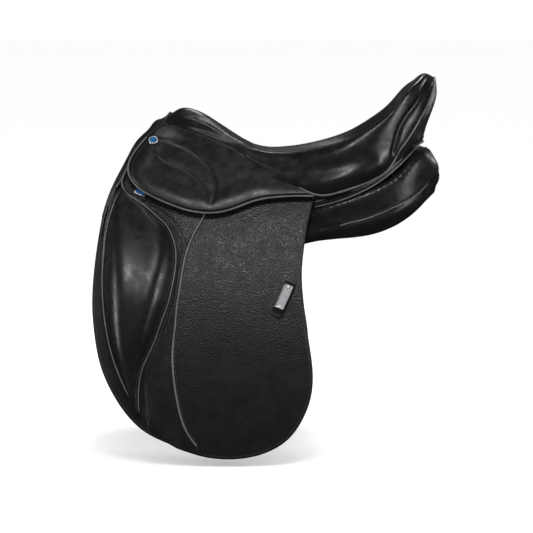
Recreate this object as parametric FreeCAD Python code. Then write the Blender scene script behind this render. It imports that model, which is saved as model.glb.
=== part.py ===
"""A 17.5 inch English dressage saddle, built up from its tree outwards. Millimetres.

Frame: +X runs back to the cantle, -Y is the near (left) side, +Z is up. The origin lies on
the plane of symmetry, at the level where the rear panels rest on the horse's back.

Each side of the saddle hangs on a cylinder whose axis runs fore and aft. The leather layers
of a side lie between concentric radii of that cylinder, so they follow the horse's barrel.
"""
import FreeCAD, Part
import math
import os

os.makedirs("parts", exist_ok=True)

V = FreeCAD.Vector

# ---------------------------------------------------------------- driving dimensions
SIDE_AXIS_Y = 442.6      # the near side's cylinder axis, on the off side of the saddle
SIDE_AXIS_Z = -294.8
FLAP_OUT = 665.0         # outer radius of the flap
FLAP_T = 5.0
BILLET_T = 4.2
FRONT_BILLET_OUT = 659.0
REAR_BILLET_OUT = 653.6
SWEAT_OUT = 648.4
SWEAT_T = 5.6
TREE_OUT = 641.0
TREE_T = 9.0
GULLET_OUT = 631.8
GULLET_T = 2.6
PANEL_OUT = 627.2
SKIRT_IN = 669.5
SKIRT_OUT = 680.0
WEB_OUT = 652.6
WEB_T = 1.8

COVER_T = 4.0            # seat leather with its felt
PANEL_SKIN = 2.4
BEND_GAP = 0.25          # half the gap at each bend line
FOAM_T = 6.8             # latex under the seat leather
FOAM_GAP = 1.2
FACING_IN = 648.8
CANTLE_T = 3.0
REAR_FACING_T = 4.0

FLAP_BEND = ((-226.0, 68.3), (71.5, -40.0))
SKIRT_BEND = ((-212.0, 128.0), (30.0, 68.0))

BAR_X = -138.0           # middle of the stirrup bar
BAR_Z = 92.0
BAR_W = 9.0
BAR_H = 7.0
BAR_LEN = 64.0
BAR_PLATE_T = 3.0
BAR_PLATE_LEN = 82.0
BAR_PLATE_W = 16.0
BAR_REAR = 36.0          # from the bar's middle forward to the root of its rod
WINDOW_LEN = 112.0       # opening in the leathers round the bar and its catch
WINDOW_H = 44.0
WINDOW_FRONT = 46.0
WINDOW_BELOW = 13.0
CATCH_LEN = 20.0
CATCH_PIN_R = 1.6
PIN_PLAY = 0.05
RIVET_R = 2.4
RIVET_PLAY = 0.1
HEAD_RIVETS = ((-146, 138), (-152, 112), (-158, 84))
BAR_RIVETS = (-34, 6, 36)

KEEPER_X = 26.0
KEEPER_Z = -79.0
KEEPER_TILT = 23.6
KEEPER_LEN = 57.0
KEEPER_W = 13.5
KEEPER_GAP = 7.0
KEEPER_T = 2.6
PLATE_LEN = 40.0
PLATE_T = 1.6
KEEPER_PIN_R = 1.2

BILLET_W = 25.0
BILLET_TOP = 62.0
BILLET_END = -262.0
FRONT_BILLET_X = -58.0
REAR_BILLET_X = 0.0
BILLET_HOLES = 7
BILLET_HOLE_R = 2.5
BILLET_PITCH = 25.0

STUD_X = -174.0
STUD_Z = 151.5
STUD_R = 7.6
STUD_STEM_R = 2.0
DEE_X = -191.0
DEE_Z = 76.0
DEE_W = 18.0
DEE_H = 15.0
DEE_TILT = -24.0
DEE_RIM = 1.8


# ---------------------------------------------------------------- helpers
def side_y(z, radius):
    """Half width of a side layer of this radius at the height z."""
    return math.sqrt(radius ** 2 - (z - SIDE_AXIS_Z) ** 2) - SIDE_AXIS_Y


def on(x, z, radius):
    """Point of the near side's layer of this radius."""
    return V(x, -side_y(z, radius), z)


def curve(points):
    """Line through two points, or a smooth curve through more."""
    if len(points) == 2:
        return Part.LineSegment(points[0], points[1]).toShape()
    spline = Part.BSplineCurve()
    spline.interpolate(points)
    return spline.toShape()


def outline(*runs):
    """Face in the XZ plane from runs of (x, z); each run starts where the last one ended."""
    edges = []
    start = runs[0][0]
    last = None
    for run in runs:
        points = ([] if last is None else [last]) + list(run)
        last = points[-1]
        if len(points) > 1:
            edges.append(curve([V(x, 0, z) for x, z in points]))
    if last != start:
        edges.append(curve([V(last[0], 0, last[1]), V(start[0], 0, start[1])]))
    return Part.Face(Part.Wire(edges))


def ring(r_in, r_out):
    """Near side's full tube between two radii."""
    base = V(-320, SIDE_AXIS_Y, SIDE_AXIS_Z)
    outer = Part.makeCylinder(r_out, 640, base, V(1, 0, 0))
    inner = Part.makeCylinder(r_in, 640, base, V(1, 0, 0))
    return outer.cut(inner)


def layer(face, r_in, r_out):
    """Near side leather: an outline cut from the tube between two radii."""
    return face.extrude(V(0, -320, 0)).common(ring(r_in, r_out))


def mirrored(shape):
    return shape.mirror(V(0, 0, 0), V(0, 1, 0))


def save(name, shape):
    shape.exportStep("parts/" + name + ".step")


def both_sides(name, shape):
    save("near_" + name, shape)
    save("off_" + name, mirrored(shape))


def half_space(bend, radius, shift, below):
    """Big block on one side of the plane through a bend line and the surface's normal."""
    a = on(bend[0][0], bend[0][1], radius)
    b = on(bend[1][0], bend[1][1], radius)
    along = (b - a).normalize()
    middle = (a + b) * 0.5
    normal = V(0, middle.y - SIDE_AXIS_Y, middle.z - SIDE_AXIS_Z).normalize()
    down = along.cross(normal).normalize()
    if down.z > 0:
        down = down * -1
    if not below:
        down = down * -1
    across = down.cross(along)
    block = Part.makeBox(900, 900, 500, V(-450, -450, shift))
    turn = FreeCAD.Rotation(along, across, down, "ZXY")
    block.Placement = FreeCAD.Placement(middle, turn)
    return block


def standing_on(shape, x, z, radius, tilt=0.0):
    """Moves a shape made in X along the saddle, Y up the side, Z outwards on to the near side."""
    lean = math.degrees(math.atan2(side_y(z, radius) + SIDE_AXIS_Y, z - SIDE_AXIS_Z))
    turn = FreeCAD.Rotation(V(1, 0, 0), lean) * FreeCAD.Rotation(V(0, 0, 1), tilt)
    moved = shape.copy()
    moved.Placement = FreeCAD.Placement(on(x, z, radius), turn)
    return moved


def centred_box(length, width, height, base):
    return Part.makeBox(length, width, height, V(-length / 2, -width / 2, base))


def spaced(rail, count):
    """Evenly spaced points along the smooth curve through a rail's points."""
    spline = Part.BSplineCurve()
    spline.interpolate(rail)
    first = spline.FirstParameter
    span = spline.LastParameter - first
    return [spline.value(first + span * i / (count - 1)) for i in range(count)]


def net(rails, count=16):
    return [spaced(rail, count) for rail in rails]


def surface(grid):
    skin = Part.BSplineSurface()
    skin.interpolate(grid)
    return skin


def offset_net(grid, distance):
    """The same net moved along its surface's normals."""
    skin = surface(grid)
    moved = []
    for row in grid:
        line = []
        for point in row:
            u, v = skin.parameter(point)
            line.append(point + skin.normal(u, v) * distance)
        moved.append(line)
    return moved


def between(grid_a, grid_b):
    """Closed solid between two nets of the same size."""
    a = surface(grid_a)
    b = surface(grid_b)
    faces = [a.toShape(), b.toShape()]
    bounds = zip(a.bounds(), b.bounds())
    for index, (end_a, end_b) in enumerate(bounds):
        edge_a = (a.uIso(end_a) if index < 2 else a.vIso(end_a)).toShape()
        edge_b = (b.uIso(end_b) if index < 2 else b.vIso(end_b)).toShape()
        faces.append(Part.makeRuledSurface(edge_a, edge_b, 1))
    shell = Part.makeShell(faces)
    shell.sewShape(0.001)
    solid = Part.Solid(Part.Shell(shell.Faces))
    solid.fix(0.001, 0.001, 0.01)
    if solid.Volume < 0:
        solid.reverse()
    return solid


def across_saddle(rails, count=18):
    """Net from near rails, listed from the edge to the centre, and their mirror images."""
    off = [[V(p.x, -p.y, p.z) for p in rail] for rail in reversed(rails[:-1])]
    return net(rails + off, count)


def half_rails(*rails):
    """Rails as (x, half width, z), laid out on the near side."""
    return [[V(x, -y, z) for x, y, z in rail] for rail in rails]


# ---------------------------------------------------------------- the side leathers
FLAP_FRONT = [(-223, 84), (-233, 70), (-241, 46), (-247, 0), (-248.5, -55), (-245.5, -95),
              (-236, -150), (-218, -200), (-190, -248), (-165, -281), (-134, -301.5)]
FLAP_FOOT = [(-95, -314), (-63, -318), (-30, -316), (2, -307), (32, -288), (55, -256), (67, -222),
             (69.5, -190), (63, -138), (56, -85), (53.5, -40), (57, -5), (63, 30), (72, 64)]
HEAD_TOP = [(60, 74), (20, 90), (-26, 115), (-78, 141), (-120, 154), (-150, 166)]
HEAD_FRONT = [(-168, 163), (-184, 148), (-198, 132), (-211, 109), (-223, 84)]
SKIRT_TOP = [(72, 79), (46, 88), (23, 95), (-2, 109), (-26, 125), (-51, 139.5), (-78, 152), (-108, 163),
             (-135, 171), (-157, 178)]
SKIRT_FRONT = [(-170, 170), (-184, 157), (-197, 142), (-207, 126), (-210.5, 112), (-208, 96), (-196, 80)]
SKIRT_EDGE = [(-180, 72), (-150, 60), (-118, 50.5), (-92, 47), (-66, 49), (-40, 57), (-15, 65.5), (15, 70),
              (45, 71.5), (72, 71.5)]
SWEAT_FRONT = [(-230, 88), (-245, 60), (-252.5, 28), (-258, -10), (-262, -52), (-263, -92), (-259, -135),
               (-249, -182), (-230, -224), (-207, -257), (-180, -281), (-150, -296)]
SWEAT_FOOT = [(-105, -305), (-60, -309), (-18, -305), (16, -289), (42, -263), (57, -228), (59, -192),
              (52, -138), (46, -85), (44, -40), (46, 0), (52, 52)]
SWEAT_TOP = [(30, 70), (0, 86), (-50, 103), (-100, 122), (-150, 148)]
SWEAT_HEAD = [(-176, 150), (-196, 128), (-212, 110), (-230, 88)]


def whole_flap():
    return layer(outline(FLAP_FRONT, FLAP_FOOT, HEAD_TOP, HEAD_FRONT), FLAP_OUT - FLAP_T, FLAP_OUT)


def bar_window(depth):
    """Opening in the leathers over the stirrup bar and its catch."""
    block = Part.makeBox(WINDOW_LEN, WINDOW_H, depth, V(-WINDOW_FRONT, -WINDOW_BELOW, -depth))
    return standing_on(block, BAR_X, BAR_Z, FLAP_OUT + 2)


def make_flaps():
    flap = whole_flap()
    head = flap.common(half_space(FLAP_BEND, FLAP_OUT, BEND_GAP, False)).cut(bar_window(14))
    both_sides("flap_head", head)
    both_sides("flap", flap.common(half_space(FLAP_BEND, FLAP_OUT, BEND_GAP, True)))


def make_sweat_flap():
    face = outline(SWEAT_FRONT, SWEAT_FOOT, SWEAT_TOP, SWEAT_HEAD)
    both_sides("sweat_flap", layer(face, SWEAT_OUT - SWEAT_T, SWEAT_OUT).cut(bar_window(30)))


def whole_skirt():
    return layer(outline(SKIRT_TOP, SKIRT_FRONT, SKIRT_EDGE), SKIRT_IN, SKIRT_OUT)


def make_skirt():
    skirt = whole_skirt()
    drill = Part.makeCylinder(STUD_STEM_R + RIVET_PLAY, 20, V(0, 0, -16))
    stud_hole = standing_on(drill, STUD_X, STUD_Z, SKIRT_OUT)
    head = skirt.common(half_space(SKIRT_BEND, SKIRT_OUT, BEND_GAP, False)).cut(stud_hole)
    both_sides("skirt_head", head)
    both_sides("skirt", skirt.common(half_space(SKIRT_BEND, SKIRT_OUT, BEND_GAP, True)))


# ---------------------------------------------------------------- knee block
BLOCK_ROWS = [
    # z, front x, rear x, crown height
    (52, -234, -186, 3.0),
    (25, -241, -158, 8.5),
    (-15, -245.5, -141, 19.0),
    (-60, -246, -145, 27.0),
    (-110, -241, -160, 29.0),
    (-160, -231, -179, 24.0),
    (-205, -213, -191, 13.0),
    (-238, -196, -190, 3.5),
]
BLOCK_ACROSS = [(0.0, 0.0), (0.06, 0.55), (0.2, 0.96), (0.5, 0.93), (0.8, 0.92), (0.94, 0.55), (1.0, 0.0)]


def block_net(base, share, inset, rows=BLOCK_ROWS):
    grid = []
    for z, front, rear, crown in rows:
        row = []
        for across, height in BLOCK_ACROSS:
            x = front + inset + (rear - front - 2 * inset) * across
            slant = 0.42 * (x - front) if z > 40 else 0
            row.append(on(x, z - slant, FLAP_OUT + base + crown * height * share))
        grid.append(row)
    return grid


def make_knee_block():
    both_sides("knee_block_cover", between(block_net(1.8, 1.0, 0), block_net(0.3, 0.93, 2.2)))
    filled = BLOCK_ROWS[1:-1]
    both_sides("knee_block_foam", between(block_net(0.8, 0.86, 6, filled), block_net(0.3, 0.0, 6, filled)))


# ---------------------------------------------------------------- tree and seat
TREE_SIDE = [(-112, 172), (-92, 108), (-104, 74), (-150, 60), (-163, 45), (-172, 20), (-190, 21),
             (-197, 40), (-190, 90), (-176, 132), (-160, 172)]
TREE_TOP = [(-140, 166), (-98, 158), (-51, 134), (-4, 112), (43, 106), (95, 107), (140, 113), (175, 126),
            (205, 150), (228, 182), (243, 220)]
TREE_FOOT = [(252, 214), (246, 184), (236, 158), (205, 128), (170, 109), (140, 100), (95, 94), (43, 93),
             (-4, 99), (-51, 120), (-98, 144), (-140, 157.5)]
TREE_PLAN = [(-140, 30), (-80, 44), (-30, 56), (0, 64), (43, 78), (95, 98), (140, 104), (175, 96),
             (200, 82), (222, 60), (240, 34), (252, 0)]
WEB_HOLE = [(-30, 0), (0, 26), (50, 42), (100, 56), (150, 54), (185, 30), (192, 0)]


def plan_face(points):
    """Face in the XY plane, symmetric about the centre line."""
    near = [V(x, -y, 0) for x, y in points]
    off = [V(x, y, 0) for x, y in reversed(points)]
    edges = [curve(near), curve(off)]
    if points[-1][1] > 0:
        edges.insert(1, curve([near[-1], off[0]]))
    if points[0][1] > 0:
        edges.append(curve([off[-1], near[0]]))
    return Part.Face(Part.Wire(edges))


def head_rivet_shapes(radius, length):
    rivets = []
    for x, z in HEAD_RIVETS:
        rivets.append(standing_on(Part.makeCylinder(radius, length, V(0, 0, -length)), x, z, TREE_OUT))
    return rivets + [mirrored(rivet) for rivet in rivets]


def bar_rivet_shapes(radius):
    length = TREE_T + BAR_PLATE_T + 1
    shank = Part.makeCylinder(radius, length, V(0, 0, -TREE_T - 0.5))
    return [standing_on(shank, BAR_X + x, BAR_Z, TREE_OUT) for x in BAR_RIVETS]


def make_tree():
    points = layer(outline(TREE_SIDE), TREE_OUT - TREE_T, TREE_OUT)
    strip = outline(TREE_TOP, TREE_FOOT).extrude(V(0, 260, 0))
    strip.translate(V(0, -130, 0))
    rails = strip.common(plan_face(TREE_PLAN).extrude(V(0, 0, 300)))
    rails = rails.cut(plan_face(WEB_HOLE).extrude(V(0, 0, 300)))
    tree = rails.fuse([points, mirrored(points)]).removeSplitter()
    tools = head_rivet_shapes(RIVET_R + RIVET_PLAY, 14)
    near = bar_rivet_shapes(RIVET_R + RIVET_PLAY)
    tree = tree.cut(tools + near + [mirrored(hole) for hole in near])
    save("tree", tree)
    return tree


def make_gullet_plate():
    face = outline([(-126, 172), (-132, 110), (-146, 64)], [(-172, 64)], [(-164, 110), (-156, 172)])
    plate = layer(face, GULLET_OUT - GULLET_T, GULLET_OUT)
    whole = plate.fuse(mirrored(plate))
    whole = whole.cut(head_rivet_shapes(RIVET_R + RIVET_PLAY, 14))
    save("gullet_plate", whole)
    save("head_rivets", Part.makeCompound(head_rivet_shapes(RIVET_R, 12.2)))


def lifted(points, rise):
    return [(x, z + rise) for x, z in points]


def make_webs(tree):
    top = [(-53, 135), (-45, 130.8), (-4, 111.8), (43, 105.8), (95, 106.8), (140, 112.8), (175, 126.4),
           (196, 142)]
    upper = lifted(list(reversed(top)), 2.3)
    strip = outline(lifted(top, 0.5), upper[:1], upper[1:]).extrude(V(0, 56, 0))
    strip.translate(V(0, -28, 0))
    save("seat_web", strip)
    make_girth_web("front_girth_web", FRONT_BILLET_X, 142.8, -0.47, tree)
    make_girth_web("rear_girth_web", REAR_BILLET_X, 119.0, -0.2, tree)


def make_girth_web(name, x, crest, slope, tree):
    """Web nailed over the tree's crest, which slopes there, down to a billet on each side."""
    rails = []
    for edge in (-BILLET_W / 2, BILLET_W / 2):
        rise = slope * edge
        rail = [on(x + edge, BILLET_TOP + 3, WEB_OUT), on(x + edge, BILLET_TOP + 20, WEB_OUT)]
        rail += [V(x + edge, -side_y(crest - 20, WEB_OUT), crest - 20 + rise)]
        rail += [V(x + edge, -42, crest - 0.5 + rise), V(x + edge, 0, crest + rise)]
        off = [V(p.x, -p.y, p.z) for p in reversed(rail[:-1])]
        rails.append(rail + off)
    middle = [(a + b) * 0.5 for a, b in zip(rails[0], rails[1])]
    grid = net([rails[0], middle, rails[1]], 15)
    inner = offset_net(grid, WEB_T)
    save(name, between(grid, inner).cut(tree))


SEAT_RAILS = half_rails(
    # the lower edge: waist seam, rear welt, and up the cantle's side seam
    [(-157, 37, 179), (-135, 47, 171.5), (-108, 58, 164), (-78, 70, 153), (-51, 80.5, 141), (-26, 92, 126),
     (0, 103.5, 109), (24, 113.5, 96), (48, 120, 86), (80, 128, 73), (111, 129, 78), (140, 124, 87),
     (166, 114, 97.5), (184, 105, 109), (199, 96, 131)],
    [(-155, 32, 184), (-135, 42, 178), (-108, 51, 170), (-78, 61, 160), (-51, 74, 149), (-26, 87, 136),
     (0, 99, 123), (24, 110, 113), (48, 120, 106), (80, 130, 101), (111, 134, 106), (140, 131, 117),
     (166, 121, 130), (191, 107, 146), (216, 87, 158)],
    [(-153, 27, 188), (-135, 34, 187), (-108, 42, 181), (-78, 52, 168), (-51, 66, 155), (-26, 80, 144),
     (0, 93, 136), (24, 103, 132), (48, 112, 131), (80, 120, 135), (111, 124, 144), (140, 122, 158),
     (168, 115, 173), (194, 103, 192), (216, 88, 206), (235, 74, 188)],
    [(-151, 20, 190.5), (-135, 24, 193), (-108, 30, 188), (-78, 40, 174), (-51, 53, 158), (-26, 66, 145),
     (0, 78, 137.5), (24, 88, 136.5), (48, 96, 138), (80, 104, 143.5), (111, 110, 152), (142, 110, 165),
     (172, 103, 184), (203, 88, 212), (228, 70, 236), (249, 56, 213)],
    [(-149, 10, 191.5), (-135, 12, 198), (-108, 15, 195), (-78, 21, 178.5), (-51, 29, 160.5),
     (-26, 37, 145.5), (0, 45, 137), (24, 51, 134.5), (48, 55, 134.5), (80, 59, 136.5), (111, 62, 141),
     (145, 62, 150), (180, 58, 172), (214, 48, 210), (241, 38, 248), (259, 28, 240)],
    [(-148, 0, 191.5), (-135, 0, 199.5), (-108, 0, 196), (-78, 0, 179), (-51, 0, 160.5), (-26, 0, 145),
     (0, 0, 136.5), (24, 0, 134), (48, 0, 134), (80, 0, 135.5), (111, 0, 138.5), (146, 0, 144),
     (184, 0, 165), (218, 0, 207), (249, 0, 254), (261, 0, 248)],
)


FOAM_PLAN = [(-108, 14), (-80, 24), (-50, 38), (-20, 53), (10, 67), (45, 79), (85, 87), (125, 90),
             (160, 84), (188, 70), (207, 48), (213, 0)]


def make_seat():
    top = across_saddle(SEAT_RAILS, 30)
    skin = surface(top)
    inward = 1 if skin.normal(*skin.parameter(top[5][12])).z < 0 else -1
    under = offset_net(top, inward * COVER_T)
    skirt = whole_skirt()
    cover = between(top, under).cut([skirt, mirrored(skirt), whole_facing()])
    save("seat_cover", cover)
    foam_top = [row[2:26] for row in offset_net(top, inward * (COVER_T + FOAM_GAP))[2:-2]]
    foam_under = [row[2:26] for row in offset_net(top, inward * (COVER_T + FOAM_GAP + FOAM_T))[2:-2]]
    block = plan_face(FOAM_PLAN).extrude(V(0, 0, 300))
    save("seat_foam", between(foam_top, foam_under).common(block))


CANTLE_RAILS = half_rails(
    [(260.6, 28, 239.5), (255.5, 44, 225), (247, 60, 206), (235, 74.5, 185), (219, 86.5, 157),
     (201.6, 96, 131)],
    [(261.6, 20, 243), (259.5, 32, 221), (253, 44, 203), (245, 55, 186), (235, 64, 166), (226, 72, 146)],
    [(263, 10, 246), (264, 16, 220), (259, 22, 202), (253, 28, 187), (246, 32, 170), (241, 35, 153)],
    [(263.6, 0, 247), (265.5, 0, 220), (260.5, 0, 202), (255, 0, 187), (249, 0, 170), (245, 0, 155)],
)


def make_cantle_cover():
    grid = across_saddle(CANTLE_RAILS, 10)
    skin = surface(grid)
    inward = -1 if skin.normal(*skin.parameter(grid[3][5])).x > 0 else 1
    save("cantle_cover", between(grid, offset_net(grid, inward * CANTLE_T)))


# ---------------------------------------------------------------- facings
FACING_FRONT = [(-154, 194.2), (-166, 183), (-181, 169.5), (-196, 156), (-210, 136.5), (-223, 114),
                (-232, 96)]
FACING_BACK = [(-222.5, 91), (-213, 109), (-200, 131), (-186, 147.5), (-170, 163), (-152, 178),
               (-144, 194.2)]


def whole_facing():
    side = layer(outline(FACING_FRONT, [(-223.5, 90)], FACING_BACK), FACING_IN, FLAP_OUT - 0.2)
    return side.fuse(mirrored(side)).removeSplitter()


def make_facings(panels):
    save("front_facing", whole_facing())
    upper = [(74, 106, 69), (111, 113, 78), (140, 110, 88), (168, 102, 98), (192, 90, 112), (214, 69, 131),
             (232, 38, 147), (240, 0, 152)]
    lower = [(74, 110, 46), (111, 117, 55), (140, 114, 65), (168, 106, 74.5), (192, 94, 90), (214, 73, 111),
             (232, 40, 128), (240, 0, 133)]
    rails = half_rails(upper, [tuple((a + b) / 2 for a, b in zip(p, q)) for p, q in zip(upper, lower)], lower)
    rows = []
    for rail in rails:
        rows.append(rail + [V(p.x, -p.y, p.z) for p in reversed(rail[:-1])])
    grid = net(rows, 24)
    save("rear_facing", between(grid, offset_net(grid, REAR_FACING_T)).cut(panels))


# ---------------------------------------------------------------- panels
def panel_rails():
    """Tree side and horse side of the near panel, from the channel edge to the lower edge."""
    deep = PANEL_OUT - 21
    r = PANEL_OUT
    tree_side = [
        [on(-200, 120, r), on(-160, 113, r), on(-110, 102, r), V(-50, -31, 86), V(20, -32, 68),
         V(80, -33, 64), V(150, -33, 76), V(205, -33, 102), V(236, -32, 126), V(251, -28, 138)],
        [on(-226, 84, r), on(-185, 80, r), on(-130, 74, r), V(-55, -62, 74), V(5, -67, 64), V(80, -86, 60),
         V(150, -84, 78), V(205, -70, 106), V(240, -50, 131), V(258, -38, 131)],
        [on(-243, 34, r), on(-205, 30, r), on(-150, 28, r), on(-65, 30, r), V(0, -86, 42), V(80, -111, 46),
         V(150, -110, 63), V(208, -88, 92), V(244, -62, 118), V(264, -45, 115)],
        [on(-252, -40, r), on(-215, -38, r), on(-160, -28, r), on(-75, -12, r), on(0, 2, r),
         V(80, -119, 30), V(152, -120, 44), V(212, -100, 70), V(248, -69, 97), V(266, -49, 100)],
        [on(-248, -110, r), on(-218, -110, r), on(-165, -92, r), on(-85, -56, r), on(-5, -22, r),
         V(80, -121, 14), V(153, -122, 27), V(214, -100, 52), V(249, -68, 77), V(265, -47, 87)],
        [on(-234, -146, r), on(-210, -150, r), on(-165, -132, r), on(-90, -84, r), on(-8, -34, r),
         V(80, -117, 4), V(154, -113, 15), V(214, -92, 37), V(248, -63, 62), V(261, -45, 76)],
    ]
    horse_side = [
        [on(-197, 114, r - 8), on(-160, 104, r - 14), on(-110, 92, r - 16), V(-50, -31, 64), V(20, -32, 40),
         V(80, -33, 26), V(150, -33, 32), V(205, -33, 52), V(238, -32, 80), V(252, -28, 104)],
        [on(-220, 80, r - 9), on(-185, 74, deep), on(-130, 67, deep - 3), V(-55, -52, 50), V(15, -58, 32),
         V(80, -60, 17), V(150, -60, 24), V(205, -54, 45), V(240, -46, 74), V(256, -38, 98)],
        [on(-236, 32, r - 9), on(-205, 28, deep), on(-150, 24, deep - 4), on(-65, 18, deep), V(5, -74, 14),
         V(80, -80, 9), V(150, -80, 16), V(208, -70, 38), V(243, -56, 68), V(258, -44, 90)],
        [on(-245, -40, r - 9), on(-215, -38, deep), on(-160, -30, deep - 4), on(-75, -18, deep),
         on(0, -6, r - 22), V(80, -97, 4), V(152, -95, 11), V(212, -80, 34), V(247, -60, 64),
         V(260, -46, 84)],
        [on(-241, -106, r - 8), on(-218, -106, deep + 2), on(-165, -90, deep), on(-85, -56, deep + 2),
         on(-5, -24, r - 18), V(80, -108, 1.5), V(153, -105, 9), V(214, -86, 33), V(248, -62, 62),
         V(260, -45, 77)],
        [on(-231, -138, r - 6), on(-210, -142, r - 10), on(-165, -126, r - 11), on(-90, -79, r - 11),
         on(-8, -30, r - 10), V(80, -113, 1), V(154, -109, 9.5), V(214, -88, 34), V(248, -62, 61),
         V(260, -44, 70)],
    ]
    return tree_side, horse_side


def shrunk(grid_a, grid_b, distance):
    """Two nets drawn in towards each other and in from their edges by about a distance."""
    rows = len(grid_a)
    count = len(grid_a[0])
    new_a = []
    new_b = []
    for i in range(rows):
        row_a = []
        row_b = []
        for j in range(count):
            a = pulled_in(grid_a, i, j, distance)
            b = pulled_in(grid_b, i, j, distance)
            gap = (b - a).Length
            step = min(distance * 1.25 / gap, 0.42)
            row_a.append(a + (b - a) * step)
            row_b.append(b + (a - b) * step)
        new_a.append(row_a)
        new_b.append(row_b)
    return new_a, new_b


def pulled_in(grid, i, j, distance):
    """A net's point, moved in along the net where it lies on the border."""
    rows = len(grid) - 1
    last = len(grid[0]) - 1
    point = grid[i][j]
    shift = V(0, 0, 0)
    if i in (0, rows):
        inner = grid[1 if i == 0 else rows - 1][j]
        shift += (inner - point).normalize() * distance
    if j in (0, last):
        inner = grid[i][1 if j == 0 else last - 1]
        shift += (inner - point).normalize() * distance
    return point + shift


def make_panel():
    tree_side, horse_side = panel_rails()
    top = net(tree_side, 20)
    under = net(horse_side, 20)
    cavity = shrunk(top, under, PANEL_SKIN)
    wool = shrunk(top, under, PANEL_SKIN + 0.5)
    shell = between(top, under).cut(between(*cavity))
    both_sides("panel", shell)
    both_sides("flocking", between(*wool))
    outside = between(top, under)
    return [outside, mirrored(outside)]


# ---------------------------------------------------------------- stirrup bar
def make_stirrup_bar():
    """Recessed bar: a plate on the tree, a front arm, and a rod that is open at the rear."""
    base = TREE_OUT - FLAP_OUT
    rod_out = -2.5
    rod_in = rod_out - BAR_H
    hinge_x = BAR_LEN - BAR_REAR
    front = BAR_REAR + 4
    plate = Part.makeBox(BAR_PLATE_LEN, BAR_PLATE_W, BAR_PLATE_T, V(-front, -BAR_PLATE_W / 2, base))
    rod = Part.makeBox(BAR_LEN, BAR_W, BAR_H, V(-BAR_REAR, -BAR_W / 2, rod_in))
    arm = Part.makeBox(9, BAR_W, rod_out - base, V(-front, -BAR_W / 2, base))
    nose = Part.makeCylinder(BAR_W / 2, BAR_H, V(hinge_x, 0, rod_in))
    slot = Part.makeBox(20, 20, 3.6, V(hinge_x - 6, -10, rod_in + 1.7))
    body = rod.fuse([arm, nose]).removeSplitter()
    body = body.cut(slot)
    body = body.fuse(plate).removeSplitter()
    body = body.cut(Part.makeCylinder(CATCH_PIN_R, BAR_H + 2, V(hinge_x, 0, rod_in - 1)))
    body = standing_on(body, BAR_X, BAR_Z, FLAP_OUT)
    body = body.cut(bar_rivet_shapes(RIVET_R + RIVET_PLAY))
    both_sides("stirrup_bar", body)
    both_sides("bar_rivets", Part.makeCompound(bar_rivet_shapes(RIVET_R)))
    pin = Part.makeCylinder(CATCH_PIN_R, BAR_H, V(hinge_x, 0, rod_in))
    both_sides("catch_pin", standing_on(pin, BAR_X, BAR_Z, FLAP_OUT))
    tongue_t = 3.2
    tongue_z = rod_in + 1.9
    tongue = Part.makeBox(CATCH_LEN, 6.4, tongue_t, V(hinge_x, -3.2, tongue_z))
    knuckle = Part.makeCylinder(3.2, tongue_t, V(hinge_x, 0, tongue_z))
    thumb = Part.makeCylinder(4.4, tongue_t, V(hinge_x + CATCH_LEN, 0, tongue_z))
    catch = tongue.fuse([knuckle, thumb]).removeSplitter()
    catch = catch.cut(Part.makeCylinder(CATCH_PIN_R + PIN_PLAY, 9, V(hinge_x, 0, tongue_z - 2)))
    both_sides("catch", standing_on(catch, BAR_X, BAR_Z, FLAP_OUT))


# ---------------------------------------------------------------- billets
def make_billet(name, x, r_out):
    half = BILLET_W / 2
    tip = BILLET_END
    point = [(x - 7, tip + 4), (x, tip), (x + 7, tip + 4), (x + half, tip + 14)]
    face = outline([(x - half, BILLET_TOP)], [(x - half, tip + 14)], point, [(x + half, BILLET_TOP)])
    strap = layer(face, r_out - BILLET_T, r_out)
    holes = []
    for index in range(BILLET_HOLES):
        z = tip + 32 + BILLET_PITCH * index
        drill = Part.makeCylinder(BILLET_HOLE_R, 80, V(x, -150, z), V(0, -1, 0))
        holes.append(drill)
    both_sides(name, strap.cut(holes))


def make_billets():
    make_billet("front_billet", FRONT_BILLET_X, FRONT_BILLET_OUT)
    make_billet("rear_billet", REAR_BILLET_X, REAR_BILLET_OUT)


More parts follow.
